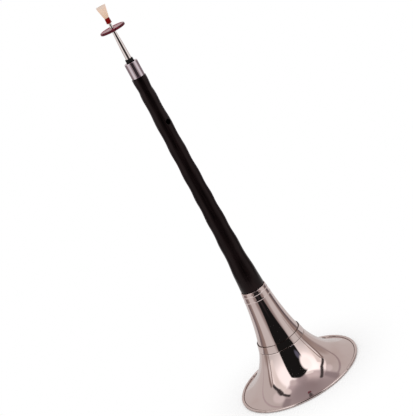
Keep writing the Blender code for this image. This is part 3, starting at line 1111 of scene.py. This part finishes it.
    def build(self) -> dict[Place, Piece]:
        """Make the pipe's three pieces.

        Returns:
            The pieces, each under the solid that it stands for.
        """
        cork = settle(new_object(self.packing(), "cork_packing"), Place.TENON_PACKING, self.cork)
        ferrule = settle(new_object(self.ferrule(), "nickel_ferrule"), Place.FERRULE, self.nickel)
        wood = settle(self.drilled(), Place.WOOD, self.wood)
        self.dull_inside(wood)
        return {Place.TENON_PACKING: cork, Place.FERRULE: ferrule, Place.WOOD: wood}


@dataclass
class Staple:
    """The metal staple, the black sleeve on its foot and the lip disc."""

    metal: Finish
    rubber: Finish
    lacquer: Finish
    steps: int = 96
    wall: float = 0.45 * MM
    taper: tuple[Point, ...] = tuple((r * MM, z * MM) for r, z in (
        (1.2, 395.3), (1.25, 389.8), (1.7, 383.7), (2.1, 376.4), (2.5, 368.9), (2.8, 355.2)))
    taper_points: int = 10                   # on each stretch
    sleeve_tip: float = 3.5 * MM
    sleeve_edge: float = 0.25 * MM
    sleeve_segments: int = 4                 # facets across its rounded edges
    disc_hole: float = 2.0 * MM
    disc_round: float = 0.9 * MM
    disc_rim: float = 2.6 * MM               # width of the raised rim round the dished face
    disc_dish: float = 0.4 * MM
    disc_points: tuple[int, int, int] = (8, 10, 12)   # on its flat, its rim and each rounding
    edge: float = 0.1 * MM

    def tube(self) -> Shape:
        """Draw the tapered tube, with a straight foot inside its sleeve.

        Returns:
            The tube.
        """
        outer = smooth_run(self.taper, self.taper_points)
        outer.append((self.taper[-1][0], Place.STAPLE.foot))
        inner = [(radius - self.wall, height) for radius, height in reversed(outer)]
        return turned(outer + inner, self.steps, self.edge)

    def sleeve(self) -> Shape:
        """Make the packing sleeve on the staple's foot.

        Returns:
            The sleeve, which narrows inside the ferrule.
        """
        radius, top, foot = Place.SLEEVE.radius, Place.SLEEVE.top, Place.SLEEVE.foot
        inside = self.taper[-1][0] + GAP
        points = [(radius, top), (radius, Place.FERRULE.top), (self.sleeve_tip, foot)]
        shape = turned([*points, (inside, foot), (inside, top)], self.steps)
        ease_edges(shape, self.sleeve_edge, self.sleeve_segments)
        return shape

    def disc(self) -> Shape:
        """Turn the lip disc.

        Returns:
            The disc, with a rounded edge and a dished upper face.
        """
        radius, top, foot = Place.DISC.radius, Place.DISC.top, Place.DISC.foot
        flat, raised, rounded = self.disc_points
        inner = radius - self.disc_rim
        outer = radius - self.disc_round
        points = [(mix(self.disc_hole, inner, share), top - self.disc_dish)
                  for share in spaced(0.0, 1.0, flat)]
        for share in spaced(0.0, 1.0, raised)[1:-1]:
            dish = self.disc_dish * (1.0 + math.cos(math.pi * share)) / 2.0
            points.append((mix(inner, outer, share), top - dish))
        points += arc((outer, top - self.disc_round), self.disc_round, 90.0, 0.0, rounded)
        points += arc((outer, foot + self.disc_round), self.disc_round, 0.0, -90.0, rounded)
        points.append((self.disc_hole, foot))
        return turned(points, 2 * self.steps, self.edge)

    def build(self) -> dict[Place, Piece]:
        """Make the staple, its sleeve and the disc.

        Returns:
            The pieces, each under the solid that it stands for.
        """
        sleeve = settle(new_object(self.sleeve(), "black_sleeve"), Place.SLEEVE, self.rubber)
        tube = settle(new_object(self.tube(), "tapered_staple"), Place.STAPLE, self.metal)
        disc = settle(new_object(self.disc(), "lacquered_disc"), Place.DISC, self.lacquer)
        return {Place.SLEEVE: sleeve, Place.STAPLE: tube, Place.DISC: disc}


@dataclass
class Reed:
    """The cane reed, round in its binding and pressed flat to its tip, and the thread that binds it."""

    cane: Finish
    thread: Finish
    steps: int = 96
    radius: float = 1.75 * MM
    wall: Span = (0.33 * MM, 0.2 * MM)      # at the neck, and scraped down at the tip
    grip: float = 395.0 * MM                # top of the round part that the thread grips
    neck: float = 395.6 * MM
    neck_half_width: float = 2.35 * MM
    tip_half_width: float = 4.75 * MM
    tip_half_depth: float = 0.9 * MM
    corner: float = 0.7 * MM                # rounding of both corners of the tip
    edge: float = 0.05 * MM
    edge_segments: int = 2                  # facets across its rounded edges
    rows: int = 48
    row_power: float = 1.5                  # brings the rows closer together towards the tip
    thread_radius: float = 0.2 * MM
    thread_sides: int = 12
    thread_loops: int = 11
    loop_points: int = 48
    winding: Span = (389.85 * MM, 394.8 * MM)     # centre of the lowest and highest loop
    winding_spread: float = 0.2 * MM        # extra radius at the foot of the winding

    def along(self, height: float) -> float:
        """Return how far a height lies on the way from the neck to the tip, from 0 to 1."""
        return max(0.0, (height - self.neck) / (Place.CANE.top - self.neck))

    def half_width(self, height: float) -> float:
        """Find half the reed's width.

        Args:
            height: Height on the reed.

        Returns:
            Half the width, with rounded corners at the tip.
        """
        spread = eased(clamped((height - self.grip) / (self.neck - self.grip)))
        foot = mix(self.radius, self.neck_half_width, spread)
        width = mix(foot, self.tip_half_width, self.along(height))
        into = max(0.0, height - Place.CANE.top + self.corner)
        return width - self.corner + math.sqrt(max(self.corner ** 2 - into ** 2, 0.0))

    def blade(self) -> Shape:
        """Turn the cane as a tube and press it flat.

        Returns:
            The cane.
        """
        top, foot = Place.CANE.top, Place.CANE.foot
        heights = [top - (top - foot) * share ** self.row_power for share in spaced(0.0, 1.0, self.rows)]
        outer = [(self.radius, height) for height in heights]
        inner = [(self.radius - mix(*self.wall, self.along(height)), height) for height in reversed(heights)]
        shape = turned(outer + inner, self.steps)
        for vertex in shape.verts:
            height = vertex.co.z
            depth = mix(self.radius, self.tip_half_depth, self.along(height))
            vertex.co.x *= self.half_width(height) / self.radius
            vertex.co.y *= depth / self.radius
        ease_edges(shape, self.edge, self.edge_segments)
        return shape

    def binding(self) -> Shape:
        """Wind the thread close, from the foot of the cane upwards.

        Returns:
            The thread, as one unbroken tube.
        """
        low, high = self.winding
        lay = self.radius + TIGHT_GAP + self.thread_radius
        steps = self.thread_loops * self.loop_points
        shape = bmesh.new()
        section = circle((lay, low), self.thread_radius, self.thread_sides)
        bmesh.ops.spin(shape, geom=outline_ring(shape, section), cent=ORIGIN, axis=UP,
                       dvec=(0.0, 0.0, (high - low) / steps), angle=math.tau * self.thread_loops,
                       steps=steps, use_merge=False)
        bmesh.ops.holes_fill(shape, edges=[edge for edge in shape.edges if edge.is_boundary], sides=0)
        bmesh.ops.recalc_face_normals(shape, faces=shape.faces)
        for vertex in shape.verts:
            share = clamped((vertex.co.z - low) / (high - low))
            flat = Vector((vertex.co.x, vertex.co.y, 0.0))
            vertex.co += flat.normalized() * self.winding_spread * (1.0 - share)
        return shape

    def build(self) -> dict[Place, Piece]:
        """Make the cane and its binding.

        Returns:
            The pieces, each under the solid that it stands for.
        """
        cane = settle(new_object(self.blade(), "cane_blade"), Place.CANE, self.cane)
        thread = settle(new_object(self.binding(), "red_winding"), Place.BINDING, self.thread)
        return {Place.CANE: cane, Place.BINDING: thread}


def direction(azimuth: float, elevation: float) -> Vector:
    """Return a unit vector, from an azimuth in degrees round from -Y towards +X and an elevation."""
    turn, rise = math.radians(azimuth), math.radians(elevation)
    return Vector((math.cos(rise) * math.sin(turn), -math.cos(rise) * math.cos(turn), math.sin(rise)))


@dataclass(frozen=True)
class Sight:
    """A sight line from the horn into the tent, as sockets of the world's nodes."""

    tree: Tree
    line: Socket                       # its direction
    azimuth: Socket                    # in degrees, round from -Y towards +X
    elevation: Socket                  # in degrees

    @classmethod
    def through(cls, tree: Tree) -> "Sight":
        """Work out the angles of the sight line.

        Args:
            tree: The world's nodes.

        Returns:
            The sight line.
        """
        line = add_node(tree, "ShaderNodeTexCoord").outputs["Generated"]
        parts = add_node(tree, "ShaderNodeSeparateXYZ", {}, {"Vector": line})
        front = add_node(tree, "ShaderNodeMath", {"operation": "MULTIPLY"}, {0: parts.outputs["Y"], 1: -1.0})
        turn = add_node(tree, "ShaderNodeMath", {"operation": "ARCTAN2"}, {
            0: parts.outputs["X"], 1: front.outputs["Value"]})
        rise = add_node(tree, "ShaderNodeMath", {"operation": "ARCSINE"}, {0: parts.outputs["Z"]})
        degrees = [add_node(tree, "ShaderNodeMath", {"operation": "DEGREES"}, {
            0: angle.outputs["Value"]}).outputs["Value"] for angle in (turn, rise)]
        return cls(tree, line, *degrees)

    def strip(self, value: Socket, low: float, high: float, soft: float) -> Socket:
        """Mask a range of a value.

        Args:
            value: Value to test.
            low: Lower limit.
            high: Upper limit.
            soft: Width of the fade at the limits.

        Returns:
            A mask that is 1 where the value lies between the limits.
        """
        off = add_node(self.tree, "ShaderNodeMath", {"operation": "SUBTRACT"}, {
            0: value, 1: (low + high) / 2.0})
        away = add_node(self.tree, "ShaderNodeMath", {"operation": "ABSOLUTE"}, {0: off.outputs["Value"]})
        half = (high - low) / 2.0
        return add_node(self.tree, "ShaderNodeMapRange", SMOOTH, {
            "Value": away.outputs["Value"], "From Min": half - soft / 2.0, "From Max": half + soft / 2.0,
            "To Min": 1.0, "To Max": 0.0}).outputs["Result"]

    def near(self, middle: Vector, inner: float, outer: float) -> Socket:
        """Mask what lies close to a direction.

        Args:
            middle: Direction at the middle of the mask.
            inner: Angle from it where the mask is still full, in degrees.
            outer: Angle from it where the mask has faded.

        Returns:
            The mask.
        """
        facing = add_node(self.tree, "ShaderNodeVectorMath", {"operation": "DOT_PRODUCT"}, {
            0: self.line, 1: middle})
        return add_node(self.tree, "ShaderNodeMapRange", SMOOTH, {
            "Value": facing.outputs["Value"], "From Min": math.cos(math.radians(outer)),
            "From Max": math.cos(math.radians(inner))}).outputs["Result"]


@dataclass(frozen=True)
class Rod:
    """A straight seam or pole of the tent, as seen from the horn."""

    low: Angles                        # its lower end
    high: Angles
    half_width: float                  # in degrees
    colour: Colour
    end_fade: float = 1.0              # fade at its ends, either way

    def layer(self, sight: Sight) -> Layer:
        """Lay the rod along the great circle through its ends.

        Args:
            sight: The sight line.

        Returns:
            The rod's colour, and its masks across and along it.
        """
        low, high = direction(*self.low), direction(*self.high)
        off = add_node(sight.tree, "ShaderNodeVectorMath", {"operation": "DOT_PRODUCT"}, {
            0: sight.line, 1: low.cross(high).normalized()})
        half = math.radians(self.half_width)
        across = sight.strip(off.outputs["Value"], -half, half, half)
        reach = math.degrees(low.angle(high)) / 2.0
        along = sight.near((low + high).normalized(), reach - self.end_fade, reach + self.end_fade)
        return self.colour, [across, along]


@dataclass(frozen=True)
class Glow:
    """A soft round patch of the tent's cloth, as seen from the horn."""

    centre: Angles
    inner: float                       # radius where it is full, in degrees
    outer: float                       # radius where it has faded
    colour: Colour

    def layer(self, sight: Sight, *within: Socket) -> Layer:
        """Return the patch's colour, and its mask after those of the part that it lies within."""
        return self.colour, [*within, sight.near(direction(*self.centre), self.inner, self.outer)]


@dataclass(frozen=True)
class Edge:
    """A bowed edge of the tent's cloth, as seen from the horn."""

    height: float                      # elevation at azimuth 0, in degrees
    tilt: float                        # fall with each degree of azimuth towards +X
    bow: float                         # further fall with each squared degree of azimuth
    softness: float                    # height over which it fades

    def mask(self, sight: Sight, side: Side) -> Socket:
        """Mask one side of the edge.

        Args:
            sight: The sight line.
            side: The side where the mask is 1.

        Returns:
            The mask.
        """
        fall = add_node(sight.tree, "ShaderNodeMath", {"operation": "MULTIPLY_ADD"}, {
            0: sight.azimuth, 1: self.bow, 2: self.tilt})
        raised = add_node(sight.tree, "ShaderNodeMath", {"operation": "MULTIPLY_ADD"}, {
            0: sight.azimuth, 1: fall.outputs["Value"], 2: sight.elevation})
        under, over = side.value
        return add_node(sight.tree, "ShaderNodeMapRange", SMOOTH, {
            "Value": raised.outputs["Value"], "From Min": self.height - self.softness / 2.0,
            "From Max": self.height + self.softness / 2.0, "To Min": under, "To Max": over}).outputs["Result"]


@dataclass
class LightTent:
    """A white tent with a dark front opening. It lights the horn evenly and the metal mirrors it.

    All angles are in degrees, as seen from the horn. The parts are listed as they are laid, each over
    those before it.
    """

    plain: Colour = linear("#FFFFFF", 1.0)                # light on what doesn't mirror
    backdrop: Colour = linear("#FFFFFF", 1.0)             # white behind the horn
    low_wall: Colour = linear("#FFFCFA", 0.74)
    high_wall: Colour = linear("#FFFDFC", 1.36)
    wall_rise: Span = (6.0, 37.0)                         # elevations from the low tone to the high one
    wall_glows: tuple[Glow, ...] = (
        Glow((52.0, 48.0), 8.0, 26.0, linear("#FFFFFF", 1.7)),
        Glow((-55.0, 48.0), 6.0, 24.0, linear("#FFFFFF", 1.45)),
    )
    back_wall: Colour = linear("#FFF8F5", 0.66)
    back_from: Span = (97.0, 103.0)                       # azimuths where the side walls end
    back_glows: tuple[Glow, ...] = (
        Glow((110.0, 14.0), 6.0, 20.0, linear("#FFECE4", 0.44)),
        Glow((102.0, -4.0), 8.0, 22.0, linear("#FFE8DE", 0.38)),
        Glow((-102.0, -8.0), 5.0, 22.0, linear("#FFE8DE", 0.36)),
        Glow((112.0, -19.0), 10.0, 18.0, linear("#FFEFF6", 0.14)),
        Glow((-112.0, -19.0), 10.0, 18.0, linear("#FFEFF6", 0.2)),
    )
    under_back: Colour = linear("#FFECF2", 0.28)          # gap behind the table, low at the back
    under_edge: Edge = Edge(-6.0, 0.0, 0.0, 5.0)
    under_from: Span = (100.0, 135.0)
    ceiling: Colour = linear("#FFF1F4", 0.62)
    ceiling_edge: Edge = Edge(62.3, 0.02, 0.0001, 6.5)
    ceiling_glows: tuple[Glow, ...] = (
        Glow((180.0, 72.0), 8.0, 34.0, linear("#FFF1F3", 0.42)),
        Glow((48.0, 69.0), 6.0, 18.0, linear("#FFF3F4", 0.8)),
        Glow((0.0, 70.0), 3.0, 12.0, linear("#FFEFF3", 0.47)),
        Glow((0.0, 90.0), 3.0, 22.0, linear("#FFEFF3", 0.37)),
    )
    corner_glows: tuple[Glow, ...] = (
        Glow((-88.0, 66.0), 3.0, 7.0, linear("#FFF8F6", 0.95)),
        Glow((-44.0, 64.5), 2.0, 8.0, linear("#FFF4F4", 0.72)),
        Glow((-114.0, 57.0), 5.0, 10.0, linear("#FFF8F8", 0.84)),
        Glow((108.0, 54.5), 2.5, 6.5, linear("#FFF8F8", 0.82)),
    )
    front_glow: Glow = Glow((2.0, -12.0), 34.0, 52.0, linear("#FFECE8", 0.37))   # dim floor at the opening
    rods: tuple[Rod, ...] = (
        # Dim seams between the back wall and the ceiling
        Rod((-119.0, 68.5), (-143.0, 61.5), 3.0, linear("#FFEFF3", 0.36)),
        Rod((101.0, 64.0), (139.0, 58.0), 3.0, linear("#FFEFF3", 0.36)),
        # Pale strips of wall beside the poles
        Rod((-84.0, 12.0), (-86.0, 62.0), 7.0, linear("#FFFAF6", 1.02)),
        Rod((83.0, 14.0), (84.0, 46.0), 5.0, linear("#FFFAF6", 1.04)),
        # Dim lower half of each pole, and the fold beside it
        Rod((-105.0, -25.0), (-106.0, 38.0), 2.4, linear("#FFE6DE", 0.31)),
        Rod((-86.0, -14.0), (-100.0, 38.0), 1.5, linear("#FFE6DE", 0.33)),
        Rod((77.0, -6.0), (93.0, 38.0), 1.5, linear("#FFE6DE", 0.3)),
        Rod((93.0, -25.0), (98.5, 38.0), 2.7, linear("#FFE6DE", 0.3)),
        # Dark upper half of each pole, in three straight lengths
        Rod((-100.0, 38.0), (-96.0, 52.0), 2.7, linear("#FFF0F0", 0.06)),
        Rod((-95.5, 50.5), (-102.5, 61.5), 4.0, linear("#FFF0F0", 0.065)),
        Rod((-101.5, 61.0), (-106.5, 71.0), 2.0, linear("#FFF0F0", 0.07)),
        Rod((97.5, 38.0), (86.5, 53.0), 2.3, linear("#FFF0F0", 0.06)),
        Rod((86.2, 52.0), (88.0, 62.0), 2.8, linear("#FFF0F0", 0.065)),
        Rod((88.0, 61.0), (97.5, 71.5), 2.4, linear("#FFF0F0", 0.07)),
        # Seams of the back wall
        Rod((-127.0, -4.0), (-131.5, 31.0), 1.0, linear("#FFF0F2", 0.54)),
        Rod((-131.5, 30.0), (-138.0, 60.0), 1.0, linear("#FFF0F2", 0.54)),
        Rod((117.0, 2.0), (127.0, 31.0), 1.4, linear("#FFF0F2", 0.4)),
        Rod((127.0, 30.0), (133.0, 57.0), 1.2, linear("#FFF0F2", 0.44)),
        # Bright hem over the opening
        Rod((22.0, 62.0), (56.0, 61.5), 2.0, linear("#FFFCFB", 1.12)),
    )
    opening: Colour = linear("#FFFFFF", 0.012)
    opening_sides: Span = (-34.7, 40.5)
    opening_softness: float = 3.0
    opening_top: Edge = Edge(65.0, -0.02, 0.007, 3.0)
    opening_foot: Edge = Edge(-17.0, 0.06, -0.0135, 6.0)
    opening_glows: tuple[Glow, ...] = (
        Glow((29.5, 27.5), 3.0, 8.5, linear("#D6DAFF", 0.2)),
        Glow((2.0, -15.0), 5.0, 12.5, linear("#FFE4EC", 0.036)),
    )
    low_opening: Colour = linear("#FFDDEE", 0.105)        # its foot, which the pieces above the bell mirror
    low_edge: Edge = Edge(-11.5, 0.0, 0.0, 2.0)
    flap: Glow = Glow((41.0, 43.0), 9.5, 16.0, linear("#FFFFFF", 1.6))    # pale flap at its side

    def layers(self, sight: Sight) -> list[Layer]:
        """List what the tent is made of, over the low part of its walls.

        Args:
            sight: The sight line.

        Returns:
            The layers, each of which lies over those before it.
        """
        round_back = add_node(sight.tree, "ShaderNodeMath", {"operation": "ABSOLUTE"}, {0: sight.azimuth})
        high, back, behind = (
            add_node(sight.tree, "ShaderNodeMapRange", SMOOTH, {
                "Value": value, "From Min": start, "From Max": end}).outputs["Result"]
            for value, (start, end) in (
                (sight.elevation, self.wall_rise),
                (round_back.outputs["Value"], self.back_from),
                (round_back.outputs["Value"], self.under_from)))
        overhead = self.ceiling_edge.mask(sight, Side.ABOVE)
        sides = sight.strip(sight.azimuth, *self.opening_sides, self.opening_softness)
        gap = [sides, self.opening_top.mask(sight, Side.BELOW), self.opening_foot.mask(sight, Side.ABOVE)]
        return [
            (self.high_wall, [high]),
            *(glow.layer(sight) for glow in self.wall_glows),
            (self.back_wall, [back]),
            *(glow.layer(sight) for glow in self.back_glows),
            (self.under_back, [behind, self.under_edge.mask(sight, Side.BELOW)]),
            (self.ceiling, [overhead]),
            *(glow.layer(sight, overhead) for glow in self.ceiling_glows),
            *(glow.layer(sight) for glow in (*self.corner_glows, self.front_glow)),
            *(rod.layer(sight) for rod in self.rods),
            (self.opening, gap),
            *(glow.layer(sight, *gap) for glow in self.opening_glows),
            (self.low_opening, [sides, self.low_edge.mask(sight, Side.BELOW)]),
            self.flap.layer(sight),
        ]

    def build(self) -> None:
        """Make the world: white behind the horn, the tent in its metal, and even light on the rest."""
        world = bpy.data.worlds.new("light_tent")
        bpy.context.scene.world = world
        world.use_nodes = True
        world.cycles.sampling_method = "NONE"
        tree = world.node_tree
        cloth = self.low_wall
        for colour, masks in self.layers(Sight.through(tree)):
            cloth = overlay(tree, cloth, colour, *masks)
        path = add_node(tree, "ShaderNodeLightPath")
        lit = overlay(tree, self.plain, cloth, path.outputs["Is Glossy Ray"])
        seen = overlay(tree, lit, self.backdrop, path.outputs["Is Camera Ray"])
        tree.links.new(seen, tree.nodes["Background"].inputs["Color"])
        LOG.info("light tent built with %d nodes", len(tree.nodes))


@dataclass
class UpperCloth:
    """The tent's brighter cloth level with the reed end, as the pieces above the bell mirror it."""

    mirrors: tuple[Place, ...] = (Place.WOOD, Place.STAPLE, Place.DISC)     # the bell stands too low
    radius: float = 0.6                # distance from the bore
    heights: Span = (0.1, 0.6)
    fades: Span = (0.14, 0.08)         # heights over which it fades at its foot and its top
    front: Span = (-0.46, -0.34)       # place along Y where it begins, and where it is full
    radiance: float = 0.35             # what it adds to the tent behind it
    segments: int = 48

    def cloth(self) -> bpy.types.Material:
        """Make the glowing cloth.

        Returns:
            The material, which is clear at the edges of the cloth.
        """
        material = bpy.data.materials.new("glowing_cloth")
        material.use_nodes = True
        tree = material.node_tree
        place = add_node(tree, "ShaderNodeTexCoord").outputs["Object"]
        parts = add_node(tree, "ShaderNodeSeparateXYZ", {}, {"Vector": place})
        low, high = self.heights
        level = self.radiance
        for axis, start, full in (
                ("Z", low, low + self.fades[0]), ("Z", high, high - self.fades[1]), ("Y", *self.front)):
            mask = add_node(tree, "ShaderNodeMapRange", SMOOTH, {
                "Value": parts.outputs[axis], "From Min": start, "From Max": full})
            level = add_node(tree, "ShaderNodeMath", {"operation": "MULTIPLY"}, {
                0: mask.outputs["Result"], 1: level}).outputs["Value"]
        glow = add_node(tree, "ShaderNodeEmission", {}, {"Strength": level})
        clear = add_node(tree, "ShaderNodeBsdfTransparent")
        both = add_node(tree, "ShaderNodeAddShader", {}, {
            0: glow.outputs["Emission"], 1: clear.outputs["BSDF"]})
        tree.links.new(both.outputs["Shader"], tree.nodes["Material Output"].inputs["Surface"])
        return material

    def build(self, pieces: dict[Place, Piece]) -> None:
        """Hang the cloth round the horn.

        Args:
            pieces: The horn's pieces.
        """
        low, high = self.heights
        shape = bmesh.new()
        bmesh.ops.create_cone(shape, cap_ends=False, segments=self.segments, radius1=self.radius,
                              radius2=self.radius, depth=high - low)
        bmesh.ops.translate(shape, verts=shape.verts, vec=(0.0, 0.0, (low + high) / 2.0))
        sheet = new_object(shape, "upper_cloth")
        sheet.data.materials.append(self.cloth())
        sheet.visible_camera = False
        sheet.visible_diffuse = False
        sheet.visible_shadow = False
        shown_to = bpy.data.collections.new("shown_to")
        for place in self.mirrors:
            shown_to.objects.link(pieces[place])
        sheet.light_linking.receiver_collection = shown_to
        LOG.info("upper cloth hung")


@dataclass
class Floor:
    """The pale sheet that the horn stands on. It keeps the shadow and fades to white."""

    half: Span = (0.3, 0.415)          # half its width along X and half its length along Y
    back: float = 0.115                # how far its middle lies behind the horn
    drop: float = 0.1 * MM
    squares: int = 8                   # along each side
    colour: str = "#FDFDFD"
    mirrored: str = "#DDDBDA"          # the sheet as the metal shows it, dimmer like the walls
    white: str = "#FFFFFF"
    fade: Span = (0.04, 0.12)          # distances over which the sheet fades to white

    def paper(self) -> bpy.types.Material:
        """Make the paper, which is matt and has no gloss.

        Returns:
            The material, which is plain white for the camera away from the horn.
        """
        material = bpy.data.materials.new("white_paper")
        material.use_nodes = True
        tree = material.node_tree
        shader = tree.nodes["Principled BSDF"]
        shader.inputs["Roughness"].default_value = 1.0
        shader.inputs["Specular IOR Level"].default_value = 0.0
        place = add_node(tree, "ShaderNodeTexCoord").outputs["Object"]
        away = add_node(tree, "ShaderNodeVectorMath", {"operation": "LENGTH"}, {0: place})
        far = add_node(tree, "ShaderNodeMapRange", SMOOTH, {
            "Value": away.outputs["Value"], "From Min": self.fade[0], "From Max": self.fade[1]})
        path = add_node(tree, "ShaderNodeLightPath")
        tone = overlay(tree, linear(self.colour), linear(self.mirrored), path.outputs["Is Glossy Ray"])
        tree.links.new(tone, shader.inputs["Base Color"])
        seen = add_node(tree, "ShaderNodeMath", {"operation": "MULTIPLY"}, {
            0: far.outputs["Result"], 1: path.outputs["Is Camera Ray"]})
        white = add_node(tree, "ShaderNodeEmission", {}, {"Color": linear(self.white), "Strength": 1.0})
        blend = add_node(tree, "ShaderNodeMixShader", {}, {
            0: seen.outputs["Value"], 1: shader.outputs["BSDF"], 2: white.outputs["Emission"]})
        tree.links.new(blend.outputs["Shader"], tree.nodes["Material Output"].inputs["Surface"])
        return material

    def build(self) -> None:
        """Lay the sheet."""
        shape = bmesh.new()
        bmesh.ops.create_grid(shape, x_segments=self.squares, y_segments=self.squares, size=1.0)
        bmesh.ops.scale(shape, vec=(*self.half, 1.0), verts=shape.verts)
        bmesh.ops.translate(shape, verts=shape.verts, vec=(0.0, self.back, -self.drop))
        sheet = new_object(shape, "floor_sheet")
        sheet.data.materials.append(self.paper())
        LOG.info("floor sheet laid")


@dataclass
class Viewpoint:
    """The camera: the photograph's place and tilt, with the horn leaning to the upper left."""

    place: tuple[float, float, float] = (-0.00256, -1.16959, 0.54332)
    pitch: float = 16.6                # degrees below the horizon
    roll: float = 28.5                 # degrees that the picture leans
    focal_pixels: float = 1300.0
    picture_width: float = 413.0
    sensor: float = 36.0               # in millimetres
    clip: Span = (0.05, 20.0)

    def build(self) -> None:
        """Set up the camera."""
        data = bpy.data.cameras.new("viewpoint")
        data.sensor_fit = "HORIZONTAL"
        data.sensor_width = self.sensor
        data.lens = self.focal_pixels * self.sensor / self.picture_width
        data.clip_start, data.clip_end = self.clip
        camera = bpy.data.objects.new("viewpoint", data)
        bpy.context.scene.collection.objects.link(camera)
        tilt = Matrix.Rotation(math.radians(90.0 - self.pitch), 4, "X")
        lean = Matrix.Rotation(math.radians(-self.roll), 4, "Z")
        camera.matrix_world = Matrix.Translation(self.place) @ tilt @ lean
        bpy.context.scene.camera = camera
        LOG.info("camera set with a %.1f mm lens", data.lens)


def main() -> None:
    """Build the horn's looks, its light and its camera."""
    logging.basicConfig(level=logging.INFO, format="%(message)s")
    bpy.context.scene.view_settings.view_transform = "Standard"
    # Dark lines painted at the seams: compound left in them, and painted shade in their creases
    seams = (
        (48.1 * MM, 0.11 * MM),        # top of the lap collar
        (40.85 * MM, 0.3 * MM),        # scored line at its foot
        (1.5 * MM, 0.12 * MM),         # where the sheet meets the roll of the rim: painted shade in the crease
    )
    bell = Bell(
        MirrorNickel("mirror_nickel", "#DCCCC9", 0.05, seams=seams),
        DrawnSteel("drawn_steel", "#B4B2B0", 0.4),
    )
    pipe = Pipe(
        StainedWood("stained_wood", "#080505", 0.2),
        # The same wood, left raw after reaming, so it has no gloss
        StainedWood("raw_bore", "#0B0707", 0.9, streak="#0E0808", worn="#100909", specular=0.0),
        # Plate on a turned cap, buffed less than the bell, so it mirrors softly
        MirrorNickel("plated_nickel", "#E2D6DE", 0.12, tarnish="#D4C8D0"),
        CorkSheet("cork_sheet", "#A97C50", 0.8),
    )
    staple = Staple(
        # Plate on a drawn tube, which is evener than spun sheet, so what it mirrors hardly wavers
        MirrorNickel("staple_nickel", "#DED6D4", 0.12, tarnish="#CFC4C0", waver_height=0.004 * MM),
        MattRubber("black_rubber", "#0D0B0B", 0.7),
        GlossLacquer("maroon_lacquer", "#64202C", 0.2),
    )
    reed = Reed(
        ScrapedCane("scraped_cane", "#EECFBA", 0.6),
        WaxedThread("waxed_thread", "#A20A06", 0.38),
    )
    pieces: dict[Place, Piece] = {}
    for assembly in (bell, pipe, staple, reed):
        pieces |= assembly.build()
    for place, piece in pieces.items():
        LOG.info("%s stands for %s, with %d faces", piece.name, place.node, len(piece.data.polygons))
    LightTent().build()
    UpperCloth().build(pieces)
    Floor().build()
    Viewpoint().build()


if __name__ == "__main__":
    main()
